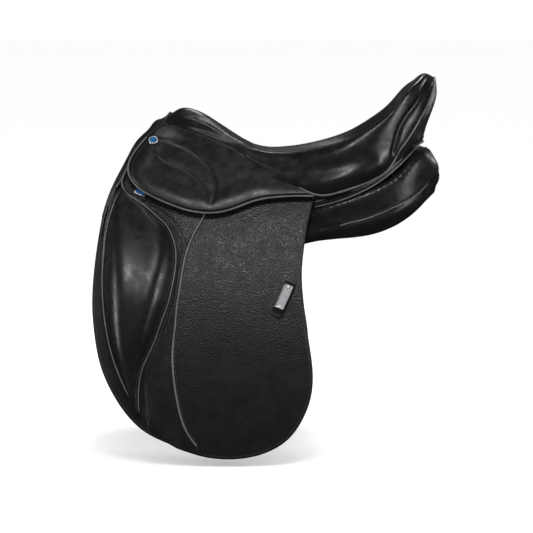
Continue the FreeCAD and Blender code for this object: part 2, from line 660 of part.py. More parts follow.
# ---------------------------------------------------------------- keeper
def make_keeper():
    """Leather loop on the flap for the stirrup leather's end, with a metal plate pinned on it."""
    half = KEEPER_LEN / 2
    crest = KEEPER_GAP + KEEPER_T
    arch = [V(-half, 0, -0.6), V(-half, 0, 1.8), V(-half + 5, 0, 3.4),
            V(-PLATE_LEN / 2 - 2, 0, crest - 0.4), V(-PLATE_LEN / 2, 0, crest),
            V(PLATE_LEN / 2, 0, crest), V(PLATE_LEN / 2 + 2, 0, crest - 0.4), V(half - 5, 0, 3.4),
            V(half, 0, 1.8), V(half, 0, -0.6), V(half - 6.5, 0, -0.2),
            V(PLATE_LEN / 2 - 0.5, 0, KEEPER_GAP), V(-PLATE_LEN / 2 + 0.5, 0, KEEPER_GAP),
            V(-half + 6.5, 0, -0.2), V(-half, 0, -0.6)]
    strap = Part.Face(Part.makePolygon(arch)).extrude(V(0, KEEPER_W, 0))
    strap.translate(V(0, -KEEPER_W / 2, 0))
    plate = Part.makeBox(PLATE_LEN, KEEPER_W, PLATE_T, V(-PLATE_LEN / 2, -KEEPER_W / 2, crest + 0.05))
    plate = plate.makeFillet(2.0, [edge for edge in plate.Edges if abs(edge.tangentAt(0).z) > 0.9])
    pins = []
    pin_holes = []
    for x in (-PLATE_LEN / 2 + 3.5, PLATE_LEN / 2 - 3.5):
        shank = Part.makeCylinder(KEEPER_PIN_R, 5.2, V(x, 0, KEEPER_GAP - 0.6))
        pins.append(shank.fuse(Part.makeCylinder(2.0, 0.9, V(x, 0, crest + PLATE_T + 0.1))))
        pin_holes.append(Part.makeCylinder(KEEPER_PIN_R + PIN_PLAY, 12, V(x, 0, 0)))
    tilt = 90 - KEEPER_TILT
    for name, shape in (("keeper_strap", strap.cut(pin_holes)), ("keeper_plate", plate.cut(pin_holes)),
                        ("keeper_pins", Part.makeCompound(pins))):
        both_sides(name, standing_on(shape, KEEPER_X, KEEPER_Z, FLAP_OUT + 0.8, tilt))


# ---------------------------------------------------------------- pommel metal
def make_pommel_metal():
    rim = Part.makeCylinder(STUD_R, 3.2, V(0, 0, 0.5))
    rim = rim.makeFillet(1.1, [rim.Edges[0], rim.Edges[2]] if len(rim.Edges) > 2 else rim.Edges)
    rim = rim.cut(Part.makeCylinder(STUD_R - 2.4, 4, V(0, 0, 2.3)))
    stem = Part.makeCylinder(STUD_STEM_R, 12, V(0, 0, -11.4))
    stud = rim.fuse(stem)
    disc = Part.makeCylinder(STUD_R - 2.45, 1.0, V(0, 0, 2.35))
    both_sides("pommel_stud", standing_on(stud, STUD_X, STUD_Z, SKIRT_OUT))
    both_sides("stud_disc", standing_on(disc, STUD_X, STUD_Z, SKIRT_OUT))
    plate = centred_box(DEE_W, DEE_H, 2.2, 0.8)
    pocket = centred_box(DEE_W - 2 * DEE_RIM, DEE_H - 2 * DEE_RIM, 2.0, 2.1)
    inlay = centred_box(DEE_W - 2 * DEE_RIM - 0.2, DEE_H - 2 * DEE_RIM - 0.2, 0.7, 2.15)
    both_sides("dee_plate", standing_on(plate.cut(pocket), DEE_X, DEE_Z, FLAP_OUT, DEE_TILT))
    both_sides("dee_enamel", standing_on(inlay, DEE_X, DEE_Z, FLAP_OUT, DEE_TILT))


make_webs(make_tree())
make_gullet_plate()
make_seat()
make_cantle_cover()
make_facings(make_panel())
make_sweat_flap()
make_flaps()
make_knee_block()
make_skirt()
make_stirrup_bar()
make_billets()
make_keeper()
make_pommel_metal()
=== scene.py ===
"""An English dressage saddle: its leathers, seams and finishes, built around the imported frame.

Numbers are millimetres in the frame's axes (+X to the cantle, -Y the near side, +Z up) and
become metres when a mesh is made. Each side's leathers lie on a barrel whose axis runs fore
and aft, so a place on them is (x, z) and a radius.
"""

import math

import bpy
import numpy as np
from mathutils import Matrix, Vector
from mathutils.geometry import delaunay_2d_cdt


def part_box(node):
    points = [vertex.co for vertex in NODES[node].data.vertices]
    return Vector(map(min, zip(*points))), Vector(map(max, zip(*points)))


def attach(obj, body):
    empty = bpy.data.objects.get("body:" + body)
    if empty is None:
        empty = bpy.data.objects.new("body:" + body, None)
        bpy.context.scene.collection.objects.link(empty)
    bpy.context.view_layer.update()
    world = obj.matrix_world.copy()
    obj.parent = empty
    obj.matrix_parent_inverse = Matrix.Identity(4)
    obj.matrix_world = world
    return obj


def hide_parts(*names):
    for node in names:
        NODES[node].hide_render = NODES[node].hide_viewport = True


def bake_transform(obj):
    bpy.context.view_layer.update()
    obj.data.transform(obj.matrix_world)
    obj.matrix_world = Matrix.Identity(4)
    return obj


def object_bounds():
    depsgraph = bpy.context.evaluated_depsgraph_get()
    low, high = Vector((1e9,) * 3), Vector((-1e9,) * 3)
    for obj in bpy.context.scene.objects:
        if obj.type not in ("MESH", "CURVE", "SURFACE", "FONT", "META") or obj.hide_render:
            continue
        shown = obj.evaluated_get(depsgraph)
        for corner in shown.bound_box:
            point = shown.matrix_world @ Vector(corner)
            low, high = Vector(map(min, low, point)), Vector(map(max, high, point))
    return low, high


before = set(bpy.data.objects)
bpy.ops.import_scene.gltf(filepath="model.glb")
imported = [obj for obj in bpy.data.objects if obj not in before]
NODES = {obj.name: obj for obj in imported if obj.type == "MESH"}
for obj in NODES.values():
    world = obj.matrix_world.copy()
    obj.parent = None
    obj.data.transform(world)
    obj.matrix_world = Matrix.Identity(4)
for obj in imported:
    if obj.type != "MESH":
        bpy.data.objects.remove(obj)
cad_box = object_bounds()

MM = 0.001
SIDES = (("near", 1), ("off", -1))

# ---------------------------------------------------------------- driving dimensions
AXIS_Y = 442.6
AXIS_Z = -294.8
FLAP_OUT = AXIS_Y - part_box("near_flap")[0].y / MM
FLAP_T = 5.0
SWEAT_OUT = 648.4
SWEAT_T = 5.6
SKIRT_OUT = 680.0
SKIRT_T = 10.5
FRONT_BILLET_OUT = 659.0
REAR_BILLET_OUT = 653.6
BILLET_T = 4.2
WEB_OUT = 652.6
PANEL_OUT = 627.2

# hinge line, radius and half the height over which each leaf bends
BENDS = {"flap": (((-226, 68.3), (71.5, -40)), FLAP_OUT, 13.0),
         "skirt": (((-212, 128), (30, 68)), SKIRT_OUT, 11.0)}
CATCH_SWEEP = 26.0          # the open catch stands this far above the bar
BAR_BELOW = 11.0
ON_TOP = 0.05               # stitches lie this far above their leather
SMALL_STITCH = (2.8, 1.2)   # length and gap

FLAP_FRONT = [(-223, 84), (-233, 70), (-241, 46), (-247, 0), (-248.5, -55), (-245.5, -95),
              (-236, -150), (-218, -200), (-190, -248), (-165, -281), (-134, -301.5)]
FLAP_FOOT = [(-95, -314), (-63, -318), (-30, -316), (2, -307), (32, -288), (55, -256), (67, -222),
             (69.5, -190), (63, -138), (56, -85), (53.5, -40), (57, -5), (63, 30), (72, 64)]
HEAD_TOP = [(60, 74), (20, 90), (-26, 115), (-78, 141), (-120, 154), (-150, 166)]
HEAD_FRONT = [(-168, 163), (-184, 148), (-198, 132), (-211, 109), (-223, 84)]

SKIRT_TOP = [(72, 79), (46, 88), (23, 95), (-2, 109), (-26, 125), (-51, 139.5), (-78, 152), (-108, 163),
             (-135, 171), (-157, 178)]
SKIRT_FRONT = [(-170, 170), (-184, 157), (-197, 142), (-207, 126), (-210.5, 112), (-207, 98), (-195, 84)]
SKIRT_EDGE = [(-180, 74.5), (-150, 61), (-118, 50.5), (-92, 47), (-66, 49), (-40, 57), (-15, 65.5), (15, 70),
              (45, 71.5), (72, 71.5)]
LEAF_UPPER = [(-166, 154), (-153, 152), (-138.3, 147), (-116.3, 137), (-101.7, 126.5), (-87.1, 111.6),
              (-78.4, 94), (-76.9, 82.3), (-82.1, 64.6)]
LEAF_LOWER = [(-173, 143), (-164.2, 130), (-145.3, 118), (-123.4, 108), (-105.9, 96), (-94.3, 81.4),
              (-88.5, 64.6)]

SWEAT_FRONT = [(-230, 88), (-245, 60), (-252.5, 28), (-258, -10), (-262, -52), (-263, -92), (-259, -135),
               (-249, -182), (-230, -224), (-207, -257), (-180, -281), (-150, -296)]
SWEAT_FOOT = [(-105, -305), (-60, -309), (-18, -305), (16, -289), (42, -263), (57, -228), (59, -192),
              (52, -138), (46, -85), (44, -40), (46, 0), (52, 52)]
SWEAT_TOP = [(30, 70), (0, 86), (-50, 103), (-100, 122), (-150, 148)]
SWEAT_HEAD = [(-176, 150), (-196, 128), (-212, 110), (-230, 88)]

# the knee block's seam on the flap, the soft fold behind it, and the light piping of the main panel
BLOCK_SEAM = [(-212, 113), (-218, 101), (-221, 91), (-219, 82), (-213, 74), (-199, 65), (-183, 54),
              (-166.5, 40), (-152, 27), (-143, 11), (-138, -6), (-137, -23), (-138, -37), (-142, -59),
              (-148, -85), (-156, -107), (-162, -124), (-175, -157), (-186.5, -182), (-191, -204.5),
              (-192, -227), (-191, -247)]
BLOCK_FRONT = [(-219, 82), (-227, 71), (-234, 52), (-241, 25), (-245.2, -15), (-246.2, -60), (-242.5, -105),
               (-232.5, -155), (-215, -202), (-191, -247)]
SOFT_FOLD = [(-205, 70), (-183, 57), (-167, 49), (-145, 35), (-131, 14), (-124, -6), (-126, -14), (-131, -40),
             (-135, -66), (-140, -92), (-149, -118), (-156, -139.5), (-168, -166), (-175, -189), (-177, -211),
             (-175, -235), (-173, -273)]
PANEL_PIPING = [(-92, 50), (-97, 38), (-107.5, 20), (-117, -1), (-123, -20), (-127, -40), (-131, -66),
                (-135, -92), (-137, -118), (-140, -148), (-140, -182), (-136, -216), (-129, -250),
                (-120, -275), (-104, -298)]
BLOCK_CROWN = [(84, 0.8), (70, 2.2), (52, 5.5), (25, 11.5), (-15, 20), (-60, 27), (-110, 28.5), (-160, 23.5),
               (-205, 12.5), (-238, 3.2), (-250, 1.5)]
BLOCK_PROFILE = [(0, 0), (0.05, 0.5), (0.11, 0.85), (0.19, 1.0), (0.28, 0.97), (0.38, 0.89), (0.5, 0.87),
                 (0.62, 0.93), (0.74, 1.0), (0.84, 0.86), (0.93, 0.46), (1, 0)]


# ---------------------------------------------------------------- curves and nets
def cubic(points, count):
    """Smooth curve through points, at even steps of its chord length."""
    p = np.array(points, float)
    chord = np.linalg.norm(np.diff(p, axis=0), axis=1)
    t = np.concatenate([[0], np.cumsum(chord)])
    s = np.linspace(0, t[-1], count)
    last = len(p) - 1
    i = np.clip(np.searchsorted(t, s, "right") - 1, 0, last - 1)
    a = ((t[i + 1] - s) / chord[i])[:, None]
    b = 1 - a
    if last == 1:
        return a * p[i] + b * p[i + 1]
    matrix = np.eye(last + 1)
    right = np.zeros_like(p)
    for k in range(1, last):
        matrix[k, k - 1:k + 2] = chord[k - 1], 2 * (chord[k - 1] + chord[k]), chord[k]
        right[k] = 6 * ((p[k + 1] - p[k]) / chord[k] - (p[k] - p[k - 1]) / chord[k - 1])
    bend = np.linalg.solve(matrix, right)
    span = (chord[i] ** 2)[:, None] / 6
    return a * p[i] + b * p[i + 1] + ((a ** 3 - a) * bend[i] + (b ** 3 - b) * bend[i + 1]) * span


def stepped(points, step):
    """Smooth curve through points, a step apart."""
    length = np.linalg.norm(np.diff(cubic(points, 200), axis=0), axis=1).sum()
    return cubic(points, max(2, int(round(length / step)) + 1))


def closed_loop(*runs, step=2.2):
    """Closed outline from runs of (x, z); each run starts where the last one ended."""
    out = []
    last = None
    for run in runs:
        points = ([] if last is None else [last]) + list(run)
        last = points[-1]
        if len(points) > 1:
            out.append(stepped(points, step)[:-1])
    if last != runs[0][0]:
        out.append(stepped([last, runs[0][0]], step)[:-1])
    loop = np.concatenate(out)
    x, z = loop.T
    area = np.sum(x * np.roll(z, -1) - np.roll(x, -1) * z)
    return loop if area > 0 else loop[::-1]


def closed_spline(points, count):
    """Smooth closed curve through points, at even steps."""
    p = np.array(points, float)
    n = len(p)
    around = np.concatenate([p, p, p, p[:1]])
    chord = np.linalg.norm(np.diff(around, axis=0), axis=1)
    t = np.concatenate([[0], np.cumsum(chord)])
    dense = cubic(around, 12 * count + 1)
    s = np.linspace(0, t[-1], len(dense))
    wanted = np.linspace(t[n], t[2 * n], count + 1)[:-1]
    return np.stack([np.interp(wanted, s, dense[:, k]) for k in range(dense.shape[1])], axis=1)


def mirror(points):
    """Points on the other side of the saddle."""
    return np.asarray(points) * [1, -1, 1]


def across_saddle(rails):
    """Near rails from the edge to the centre, then their mirror images."""
    near = [np.array(rail, float) * [1, -1, 1] for rail in rails]
    return near + [mirror(rail) for rail in reversed(near[:-1])]


def arch(near):
    """A rail over the saddle, from its near half that ends in the middle."""
    return list(near) + [mirror(p) for p in near[-2::-1]]


def strip_grid(upper, lower, along, across):
    """Net of a strip between two rails."""
    middle = [(np.array(a) + np.array(b)) / 2 for a, b in zip(upper, lower)]
    return rail_grid([upper, middle, lower], along, across)


def rail_grid(rails, along, across):
    """Smooth net through rails."""
    rows = np.array([cubic(rail, along) for rail in rails])
    return np.stack([cubic(rows[:, j], across) for j in range(along)], axis=1)


def net_normals(grid, row, column, axis, sign=1):
    """Unit normals of a net, turned so that the one at (row, column) has that sign along the axis."""
    n = np.cross(np.gradient(grid, axis=1), np.gradient(grid, axis=0))
    n = n / np.maximum(np.linalg.norm(n, axis=2), 1e-9)[:, :, None]
    return n if n[row, column, axis] * sign > 0 else -n


def half_width(z, radius):
    """Distance of the barrel's surface from the saddle's middle at the heights z."""
    return np.sqrt(np.maximum(radius ** 2 - (z - AXIS_Z) ** 2, 0)) - AXIS_Y


def on_side(xz, radius):
    """Near side points at a radius of the barrel."""
    xz = np.asarray(xz, float).reshape(-1, 2)
    return np.c_[xz[:, 0], -half_width(xz[:, 1], radius), xz[:, 1]]


def side_normal(points):
    """Outward normals of the near side's barrel."""
    n = np.c_[np.zeros(len(points)), points[:, 1] - AXIS_Y, points[:, 2] - AXIS_Z]
    return n / np.linalg.norm(n, axis=1)[:, None]


# ---------------------------------------------------------------- distances in (x, z)
def gap_to(points, line, closed=False):
    """Distance from each point to a line."""
    a = np.asarray(line, float)
    b = np.roll(a, -1, axis=0) if closed else a[1:]
    a = a if closed else a[:-1]
    d = b - a
    length = np.maximum((d ** 2).sum(1), 1e-12)
    out = np.empty(len(points))
    for start in range(0, len(points), 1500):
        p = points[start:start + 1500, None, :] - a[None]
        t = np.clip((p * d).sum(2) / length, 0, 1)
        out[start:start + 1500] = np.sqrt(((p - t[..., None] * d) ** 2).sum(2).min(1))
    return out


def gap_to_curve(points, line):
    """Distance from each point to the smooth curve through a line's points."""
    return gap_to(points, stepped(line, 3))


def inside(points, loop):
    """Which points lie inside a closed loop."""
    a = loop
    b = np.roll(loop, -1, axis=0)
    out = np.zeros(len(points), bool)
    for start in range(0, len(points), 2000):
        p = points[start:start + 2000]
        above = (a[None, :, 1] > p[:, None, 1]) != (b[None, :, 1] > p[:, None, 1])
        rise = np.where(b[:, 1] == a[:, 1], 1e-9, b[:, 1] - a[:, 1])
        at = a[:, 0] + (p[:, None, 1] - a[:, 1]) * (b[:, 0] - a[:, 0]) / rise
        out[start:start + 2000] = (above & (p[:, None, 0] < at)).sum(1) % 2 == 1
    return out


def beside(line, distance):
    """The line moved sideways, to the left of its direction."""
    d = np.gradient(line, axis=0)
    n = np.c_[-d[:, 1], d[:, 0]] / np.linalg.norm(d, axis=1)[:, None]
    return line + n * distance


def smooth_step(x, low, high):
    """0 below low, 1 above high, and a smooth rise between them."""
    t = np.clip((x - low) / (high - low), 0, 1)
    return t * t * (3 - 2 * t)


def hump(distance, width):
    """Bell curve: 1 on a line, fading out over a width."""
    return np.exp(-(distance / width) ** 2)


# ---------------------------------------------------------------- meshes
LINE_REACH = 3.6            # a sheet's mesh is finer this far from its seams


def sheet(loop, r_out, thick, relief=None, lines=(), window=None, cell=4.0, roll=None):
    """Leather on the near side: two skins that meet in a rounded edge."""
    roll = thick / 2 if roll is None else roll
    loops = [loop] if window is None else [loop, window]

    def covered(p):
        return inside(p, loop) if window is None else inside(p, loop) & ~inside(p, window)

    def to_edge(p):
        return np.min([gap_to(p, ring, True) for ring in loops], axis=0)

    border = np.concatenate(loops)
    edges = []
    extra = []
    for ring in loops:
        first = len(edges)
        edges.extend((first + i, first + (i + 1) % len(ring)) for i in range(len(ring)))
    for share in (0.13, 0.5, 1.0):
        for ring in loops:
            moved = beside(np.concatenate([ring[-2:], ring, ring[:2]]), roll * share)[2:-2]
            extra.append(moved[gap_to(moved, ring, True) > 0.8 * roll * share])
    fine = [stepped(line, 2.4) for line in lines]
    for line in fine:
        extra.extend(beside(line, d) for d in (-LINE_REACH, -1.8, -0.7, 0, 0.7, 1.8, LINE_REACH))
    low = loop.min(0)
    high = loop.max(0)
    x, z = np.meshgrid(np.arange(low[0], high[0], cell), np.arange(low[1], high[1], cell * 0.87))
    x = x + (np.arange(len(x)) % 2)[:, None] * cell / 2
    grid = np.c_[x.ravel(), z.ravel()]
    clear = to_edge(grid) > roll + 0.55 * cell
    for line in fine:
        clear &= gap_to(grid, line) > LINE_REACH + 0.5 * cell
    extra = np.concatenate(extra + [grid[clear]])
    every = np.concatenate([border, extra[covered(extra) & (to_edge(extra) > 0.05)]])
    made = delaunay_2d_cdt([Vector(p) for p in every], edges, [], 0, 1e-5)
    flat = np.array([tuple(v) for v in made[0]])
    faces = np.array([face for face in made[2] if len(face) == 3])
    faces = faces[covered(flat[faces].mean(1))]
    a, b, c = (flat[faces[:, k]] for k in range(3))
    turn = (b[:, 0] - a[:, 0]) * (c[:, 1] - a[:, 1]) - (b[:, 1] - a[:, 1]) * (c[:, 0] - a[:, 0])
    faces = faces[np.abs(turn) > 1e-9]
    turn = turn[np.abs(turn) > 1e-9]
    faces = np.where((turn > 0)[:, None], faces, faces[:, ::-1])
    used = np.unique(faces)
    number = np.full(len(flat), -1)
    number[used] = np.arange(len(used))
    flat = flat[used]
    faces = number[faces]
    pairs = np.sort(np.concatenate([faces[:, [0, 1]], faces[:, [1, 2]], faces[:, [2, 0]]]), axis=1)
    single, counts = np.unique(pairs, axis=0, return_counts=True)
    rim = np.zeros(len(flat), bool)
    rim[single[counts == 1].ravel()] = True
    round_off = 1 - np.sqrt(1 - (1 - np.clip(to_edge(flat) / roll, 0, 1)) ** 2)
    rise = relief(flat) if relief else np.zeros(len(flat))
    half = (thick + rise) / 2
    top = r_out + rise - half * round_off
    bottom = r_out - thick + half * round_off
    top[rim] = bottom[rim] = (r_out + rise - half)[rim]
    hidden = np.where(rim, np.arange(len(flat)), len(flat) + np.cumsum(~rim) - 1)
    points = np.concatenate([on_side(flat, top), on_side(flat, bottom)[~rim]])
    return points, faces.tolist() + hidden[faces][:, ::-1].tolist()


def quads(rows, columns, start=0, closed=False):
    """Four-sided faces of a net, closed round its columns or not."""
    out = []
    for i in range(rows - 1):
        for j in range(columns if closed else columns - 1):
            k = (j + 1) % columns
            out.append((start + i * columns + j, start + i * columns + k,
                        start + (i + 1) * columns + k, start + (i + 1) * columns + j))
    return out


def tube_faces(rows, around):
    """Faces of a closed tube of rings, with a flat cap at each end."""
    count = rows * around
    return quads(rows, around, 0, True) + [tuple(range(around)),
                                           tuple(reversed(range(count - around, count)))]


def rim_of(rows, columns):
    """Numbers of a net's points along its border, in order."""
    grid = np.arange(rows * columns).reshape(rows, columns)
    return np.concatenate([grid[0, :-1], grid[:-1, -1], grid[-1, :0:-1], grid[:0:-1, 0]])


def outward(points, faces):
    """Turns the faces over if they enclose their volume inside out."""
    total = 0.0
    for face in faces:
        a = points[face[0]]
        for k in range(1, len(face) - 1):
            total += np.dot(a, np.cross(points[face[k]], points[face[k + 1]]))
    return points, (faces if total > 0 else [tuple(reversed(face)) for face in faces])


def slab(top, under, bead=0.5):
    """Solid between two nets, with a rounded wall round their rims."""
    rows, columns = top.shape[:2]
    count = rows * columns
    a = top.reshape(-1, 3)
    b = under.reshape(-1, 3)
    rim = rim_of(rows, columns)
    grid = np.arange(count).reshape(rows, columns)
    inner = np.zeros(count, int)
    inner[grid] = grid[np.clip(np.arange(rows), 1, rows - 2)][:, np.clip(np.arange(columns), 1, columns - 2)]
    away = a[rim] - a[inner[rim]]
    drop = b[rim] - a[rim]
    thick = np.linalg.norm(drop, axis=1)[:, None]
    unit = drop / thick
    away = away - (away * unit).sum(1)[:, None] * unit
    away = away / np.linalg.norm(away, axis=1)[:, None]
    rings = []
    for turn in (30, 60, 90, 120, 150):
        t = math.radians(turn)
        share = (1 - math.cos(t)) / 2
        rings.append(a[rim] + drop * share + away * thick * bead * math.sin(t))
    points = np.concatenate([a, b] + rings)
    faces = quads(rows, columns) + [tuple(reversed(q)) for q in quads(rows, columns, count)]
    bead_rows = [2 * count + k * len(rim) + np.arange(len(rim)) for k in range(len(rings))]
    chain = [rim] + bead_rows + [rim + count]
    for one, two in zip(chain, chain[1:]):
        for i in range(len(rim)):
            j = (i + 1) % len(rim)
            faces.append((one[j], one[i], two[i], two[j]))
    return outward(points, faces)


def tube(path, radius, sides=8):
    """Round cord along a path of 3-D points, closed at its ends."""
    d = np.gradient(path, axis=0)
    d = d / np.linalg.norm(d, axis=1)[:, None]
    side = np.cross(d, [0.13, 0.31, 0.94])
    side = side / np.linalg.norm(side, axis=1)[:, None]
    up = np.cross(d, side)
    size = np.full(len(path), float(radius))
    size[[0, -1]] *= 0.35
    turn = np.linspace(0, 2 * math.pi, sides, endpoint=False)
    circle = np.cos(turn)[None, :, None] * side[:, None] + np.sin(turn)[None, :, None] * up[:, None]
    points = (path[:, None] + circle * size[:, None, None]).reshape(-1, 3)
    return outward(points, tube_faces(len(path), sides))


def stitches(path, normal, length=3.1, gap=1.3, width=0.75, rise=0.35):
    """Row of separate thread stitches lying on a surface."""
    steps = np.linalg.norm(np.diff(path, axis=0), axis=1)
    s = np.concatenate([[0], np.cumsum(steps)])
    starts = np.arange(gap, s[-1] - length, length + gap)
    parts = []
    for start in starts:
        at = np.array([start, start + 0.2 * length, start + 0.8 * length, start + length])
        line = np.stack([np.interp(at, s, path[:, k]) for k in range(3)], axis=1)
        up = np.array([np.interp(start, s, normal[:, k]) for k in range(3)])
        along = line[3] - line[0]
        across = np.cross(up, along)
        across = across / np.linalg.norm(across)
        turn = np.arange(6) * math.pi / 3
        ring = np.cos(turn)[:, None] * across * width / 2 + np.sin(turn)[:, None] * up * rise
        points = np.concatenate([line[:1] - up * 0.25, line[1] + ring, line[2] + ring, line[3:] - up * 0.25])
        faces = []
        for k in range(6):
            m = (k + 1) % 6
            faces += [(0, 1 + m, 1 + k), (1 + k, 1 + m, 7 + m, 7 + k), (7 + k, 7 + m, 13)]
        parts.append(outward(points, faces))
    return joined(parts)


def stitched(xz, radius, *size):
    """Stitches along a line on the near side."""
    path = on_side(xz, radius + ON_TOP)
    return stitches(path, side_normal(path), *size)


def joined(parts):
    """One shape from several."""
    points = []
    faces = []
    start = 0
    for p, f in parts:
        points.append(p)
        faces.extend(tuple(start + i for i in face) for face in f)
        start += len(p)
    return np.concatenate(points), faces


def placed(name, data):
    """A new object in the scene."""
    obj = bpy.data.objects.new(name, data)
    bpy.context.scene.collection.objects.link(obj)
    return obj


def add(name, shape, material):
    """Makes a smooth shaded object from points in mm and faces."""
    points, faces = shape
    mesh = bpy.data.meshes.new(name)
    mesh.from_pydata((points * MM).tolist(), [], [tuple(int(i) for i in f) for f in faces])
    mesh.validate()
    mesh.shade_smooth()
    rest = mesh.attributes.new("rest", "FLOAT_VECTOR", "POINT")
    place = np.zeros(len(mesh.vertices) * 3, np.float32)
    mesh.vertices.foreach_get("co", place)
    rest.data.foreach_set("vector", place)
    obj = placed(name, mesh)
    mesh.materials.append(material)
    return obj


def add_sides(name, shape, material, slot, body, *nodes):
    """The near piece and its mirror image on the off side, each on its own side's body.

    A flap or skirt piece stays where it is made, on no body; in any other body's name SIDE stands for near or
    off.
    """
    points, faces = shape
    made = []
    for side, sign in SIDES:
        turned = faces if sign > 0 else [tuple(reversed(f)) for f in faces]
        obj = add(f"{side}_{name}", (points * [1, sign, 1], turned), material)
        if body in BENDS:
            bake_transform(obj)
        else:
            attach(obj, body.replace("SIDE", side))
        if nodes:
            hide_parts(*[f"{side}_{node}" for node in nodes])
        made.append(obj)
    return made


def add_fixed(name, shape, material, slot, *nodes):
    """A piece on the middle of the saddle, which never moves."""
    obj = add(name, shape, material)
    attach(obj, "root")
    if nodes:
        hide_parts(*nodes)
    return obj


def standing_on(points, x, z, radius, tilt=0.0):
    """Moves points made in X along the saddle, Y up the side, Z outwards on to the near side."""
    lean = math.atan2(float(half_width(z, radius)) + AXIS_Y, z - AXIS_Z)
    c, s = math.cos(math.radians(tilt)), math.sin(math.radians(tilt))
    p = np.c_[points[:, 0] * c - points[:, 1] * s, points[:, 0] * s + points[:, 1] * c, points[:, 2]]
    c, s = math.cos(lean), math.sin(lean)
    p = np.c_[p[:, 0], p[:, 1] * c - p[:, 2] * s, p[:, 1] * s + p[:, 2] * c]
    return p + on_side((x, z), radius)[0]


# ---------------------------------------------------------------- materials
class Surface:
    """A material, with short calls for the nodes that make it up. Distances are metres at rest."""

    def __init__(self, name, on_piece):
        self.made = bpy.data.materials.new(name)
        self.made.use_nodes = True
        self.shader = self.made.node_tree.nodes["Principled BSDF"]
        self.normal = None
        if on_piece:
            rest = self.node("Attribute")
            rest.attribute_name = "rest"
            self.place = rest.outputs["Vector"]
        else:
            self.place = self.node("TexCoord").outputs["Object"]

    def put(self, socket, value):
        if isinstance(value, bpy.types.NodeSocket):
            self.made.node_tree.links.new(value, socket)
        else:
            socket.default_value = value

    def node(self, kind, **inputs):
        made = self.made.node_tree.nodes.new("ShaderNode" + kind)
        for name, value in inputs.items():
            self.put(made.inputs[name.replace("_", " ")], value)
        return made

    def set(self, name, value):
        self.put(self.shader.inputs[name], value)

    def noise(self, scale, detail=3.0):
        return self.node("TexNoise", Vector=self.place, Scale=scale, Detail=detail).outputs["Fac"]

    def wave(self, direction, scale, **inputs):
        made = self.node("TexWave", Vector=self.place, Scale=scale, **inputs)
        made.bands_direction = direction
        return made.outputs["Fac"]

    def ramp(self, value, low, high, from_low=0.3, from_high=0.7):
        return self.node("MapRange", Value=value, From_Min=from_low, From_Max=from_high, To_Min=low,
                         To_Max=high).outputs["Result"]

    def colour(self, value, first, second):
        mix = self.node("Mix")
        mix.data_type = "RGBA"
        for index, part in ((0, value), (6, (*first, 1)), (7, (*second, 1))):
            self.put(mix.inputs[index], part)
        self.set("Base Color", mix.outputs[2])

    def bump(self, height, strength, distance):
        """Adds a bump on top of those before it."""
        made = self.node("Bump", Height=height, Strength=strength, Distance=distance)
        if self.normal is not None:
            self.put(made.inputs["Normal"], self.normal)
        self.normal = made.outputs["Normal"]
        self.set("Normal", self.normal)


def toned(colour, share):
    """A colour made darker or lighter."""
    return tuple(min(1, c * share) for c in colour)


def leather(name, dark, light, rough, pebble, depth, gloss):
    """Dyed leather: pebbled or fine grain, soft creases, patches of colour and shine."""
    made = Surface(name, True)
    made.colour(made.ramp(made.noise(28, 4), 0, 1), dark, light)
    creases = made.noise(75)
    made.set("Roughness", made.ramp(creases, rough - 0.07, rough + 0.09))
    made.set("Specular IOR Level", gloss)
    made.bump(creases, 0.08, 0.0015)
    cells = made.node("TexVoronoi", Vector=made.place, Scale=pebble)
    cells.feature = "SMOOTH_F1"
    cells.inputs["Smoothness"].default_value = 0.6
    made.bump(cells.outputs["Distance"], depth, 0.0007)
    return made.made


def metal(name, colour, rough, scratch):
    """Worn or brushed metal with fine scratches and dull patches."""
    made = Surface(name, False)
    made.set("Metallic", 1.0)
    patch = made.noise(90, 4)
    made.colour(made.ramp(patch, 0, 1), colour, toned(colour, 0.72))
    made.set("Roughness", made.ramp(patch, rough - 0.06, rough + 0.10))
    made.bump(made.noise(1400), scratch, 0.0002)
    return made.made


def enamel(name, colour):
    """Glossy fired enamel with a faint swirl."""
    made = Surface(name, False)
    swirl = made.noise(260, 5)
    made.colour(made.ramp(swirl, 0, 1), toned(colour, 0.45), colour)
    made.set("Roughness", made.ramp(swirl, 0.12, 0.24))
    made.set("Coat Weight", 0.8)
    made.bump(swirl, 0.06, 0.0003)
    return made.made


def wood(name, dark, light):
    """Stained laminated beech: thin plies along the tree, with pores."""
    made = Surface(name, False)
    made.colour(made.wave("Z", 160, Distortion=2.5, Detail=3), dark, light)
    pores = made.noise(700, 4)
    made.set("Roughness", made.ramp(pores, 0.42, 0.66))
    made.bump(pores, 0.2, 0.0004)
    return made.made


def thread(name, colour):
    """Waxed thread with its twist."""
    made = Surface(name, True)
    twist = made.wave("DIAGONAL", 900)
    made.colour(twist, toned(colour, 0.6), colour)
    made.set("Roughness", made.ramp(twist, 0.5, 0.62, 0, 1))
    made.bump(twist, 0.4, 0.0002)
    return made.made


def webbing(name, colour):
    """Woven web: warp ribs crossed by a fine weft."""
    made = Surface(name, True)
    patch = made.noise(60)
    made.colour(patch, colour, toned(colour, 1.5))
    made.set("Roughness", made.ramp(patch, 0.78, 0.95))
    made.bump(made.wave("X", 320), 0.5, 0.0004)
    made.bump(made.wave("Y", 420), 0.5, 0.0004)
    return made.made


def paper(name, colour):
    """Matt studio paper."""
    made = Surface(name, False)
    made.colour(made.noise(0.8, 2), colour, toned(colour, 1.02))
    made.set("Roughness", 0.9)
    return made.made


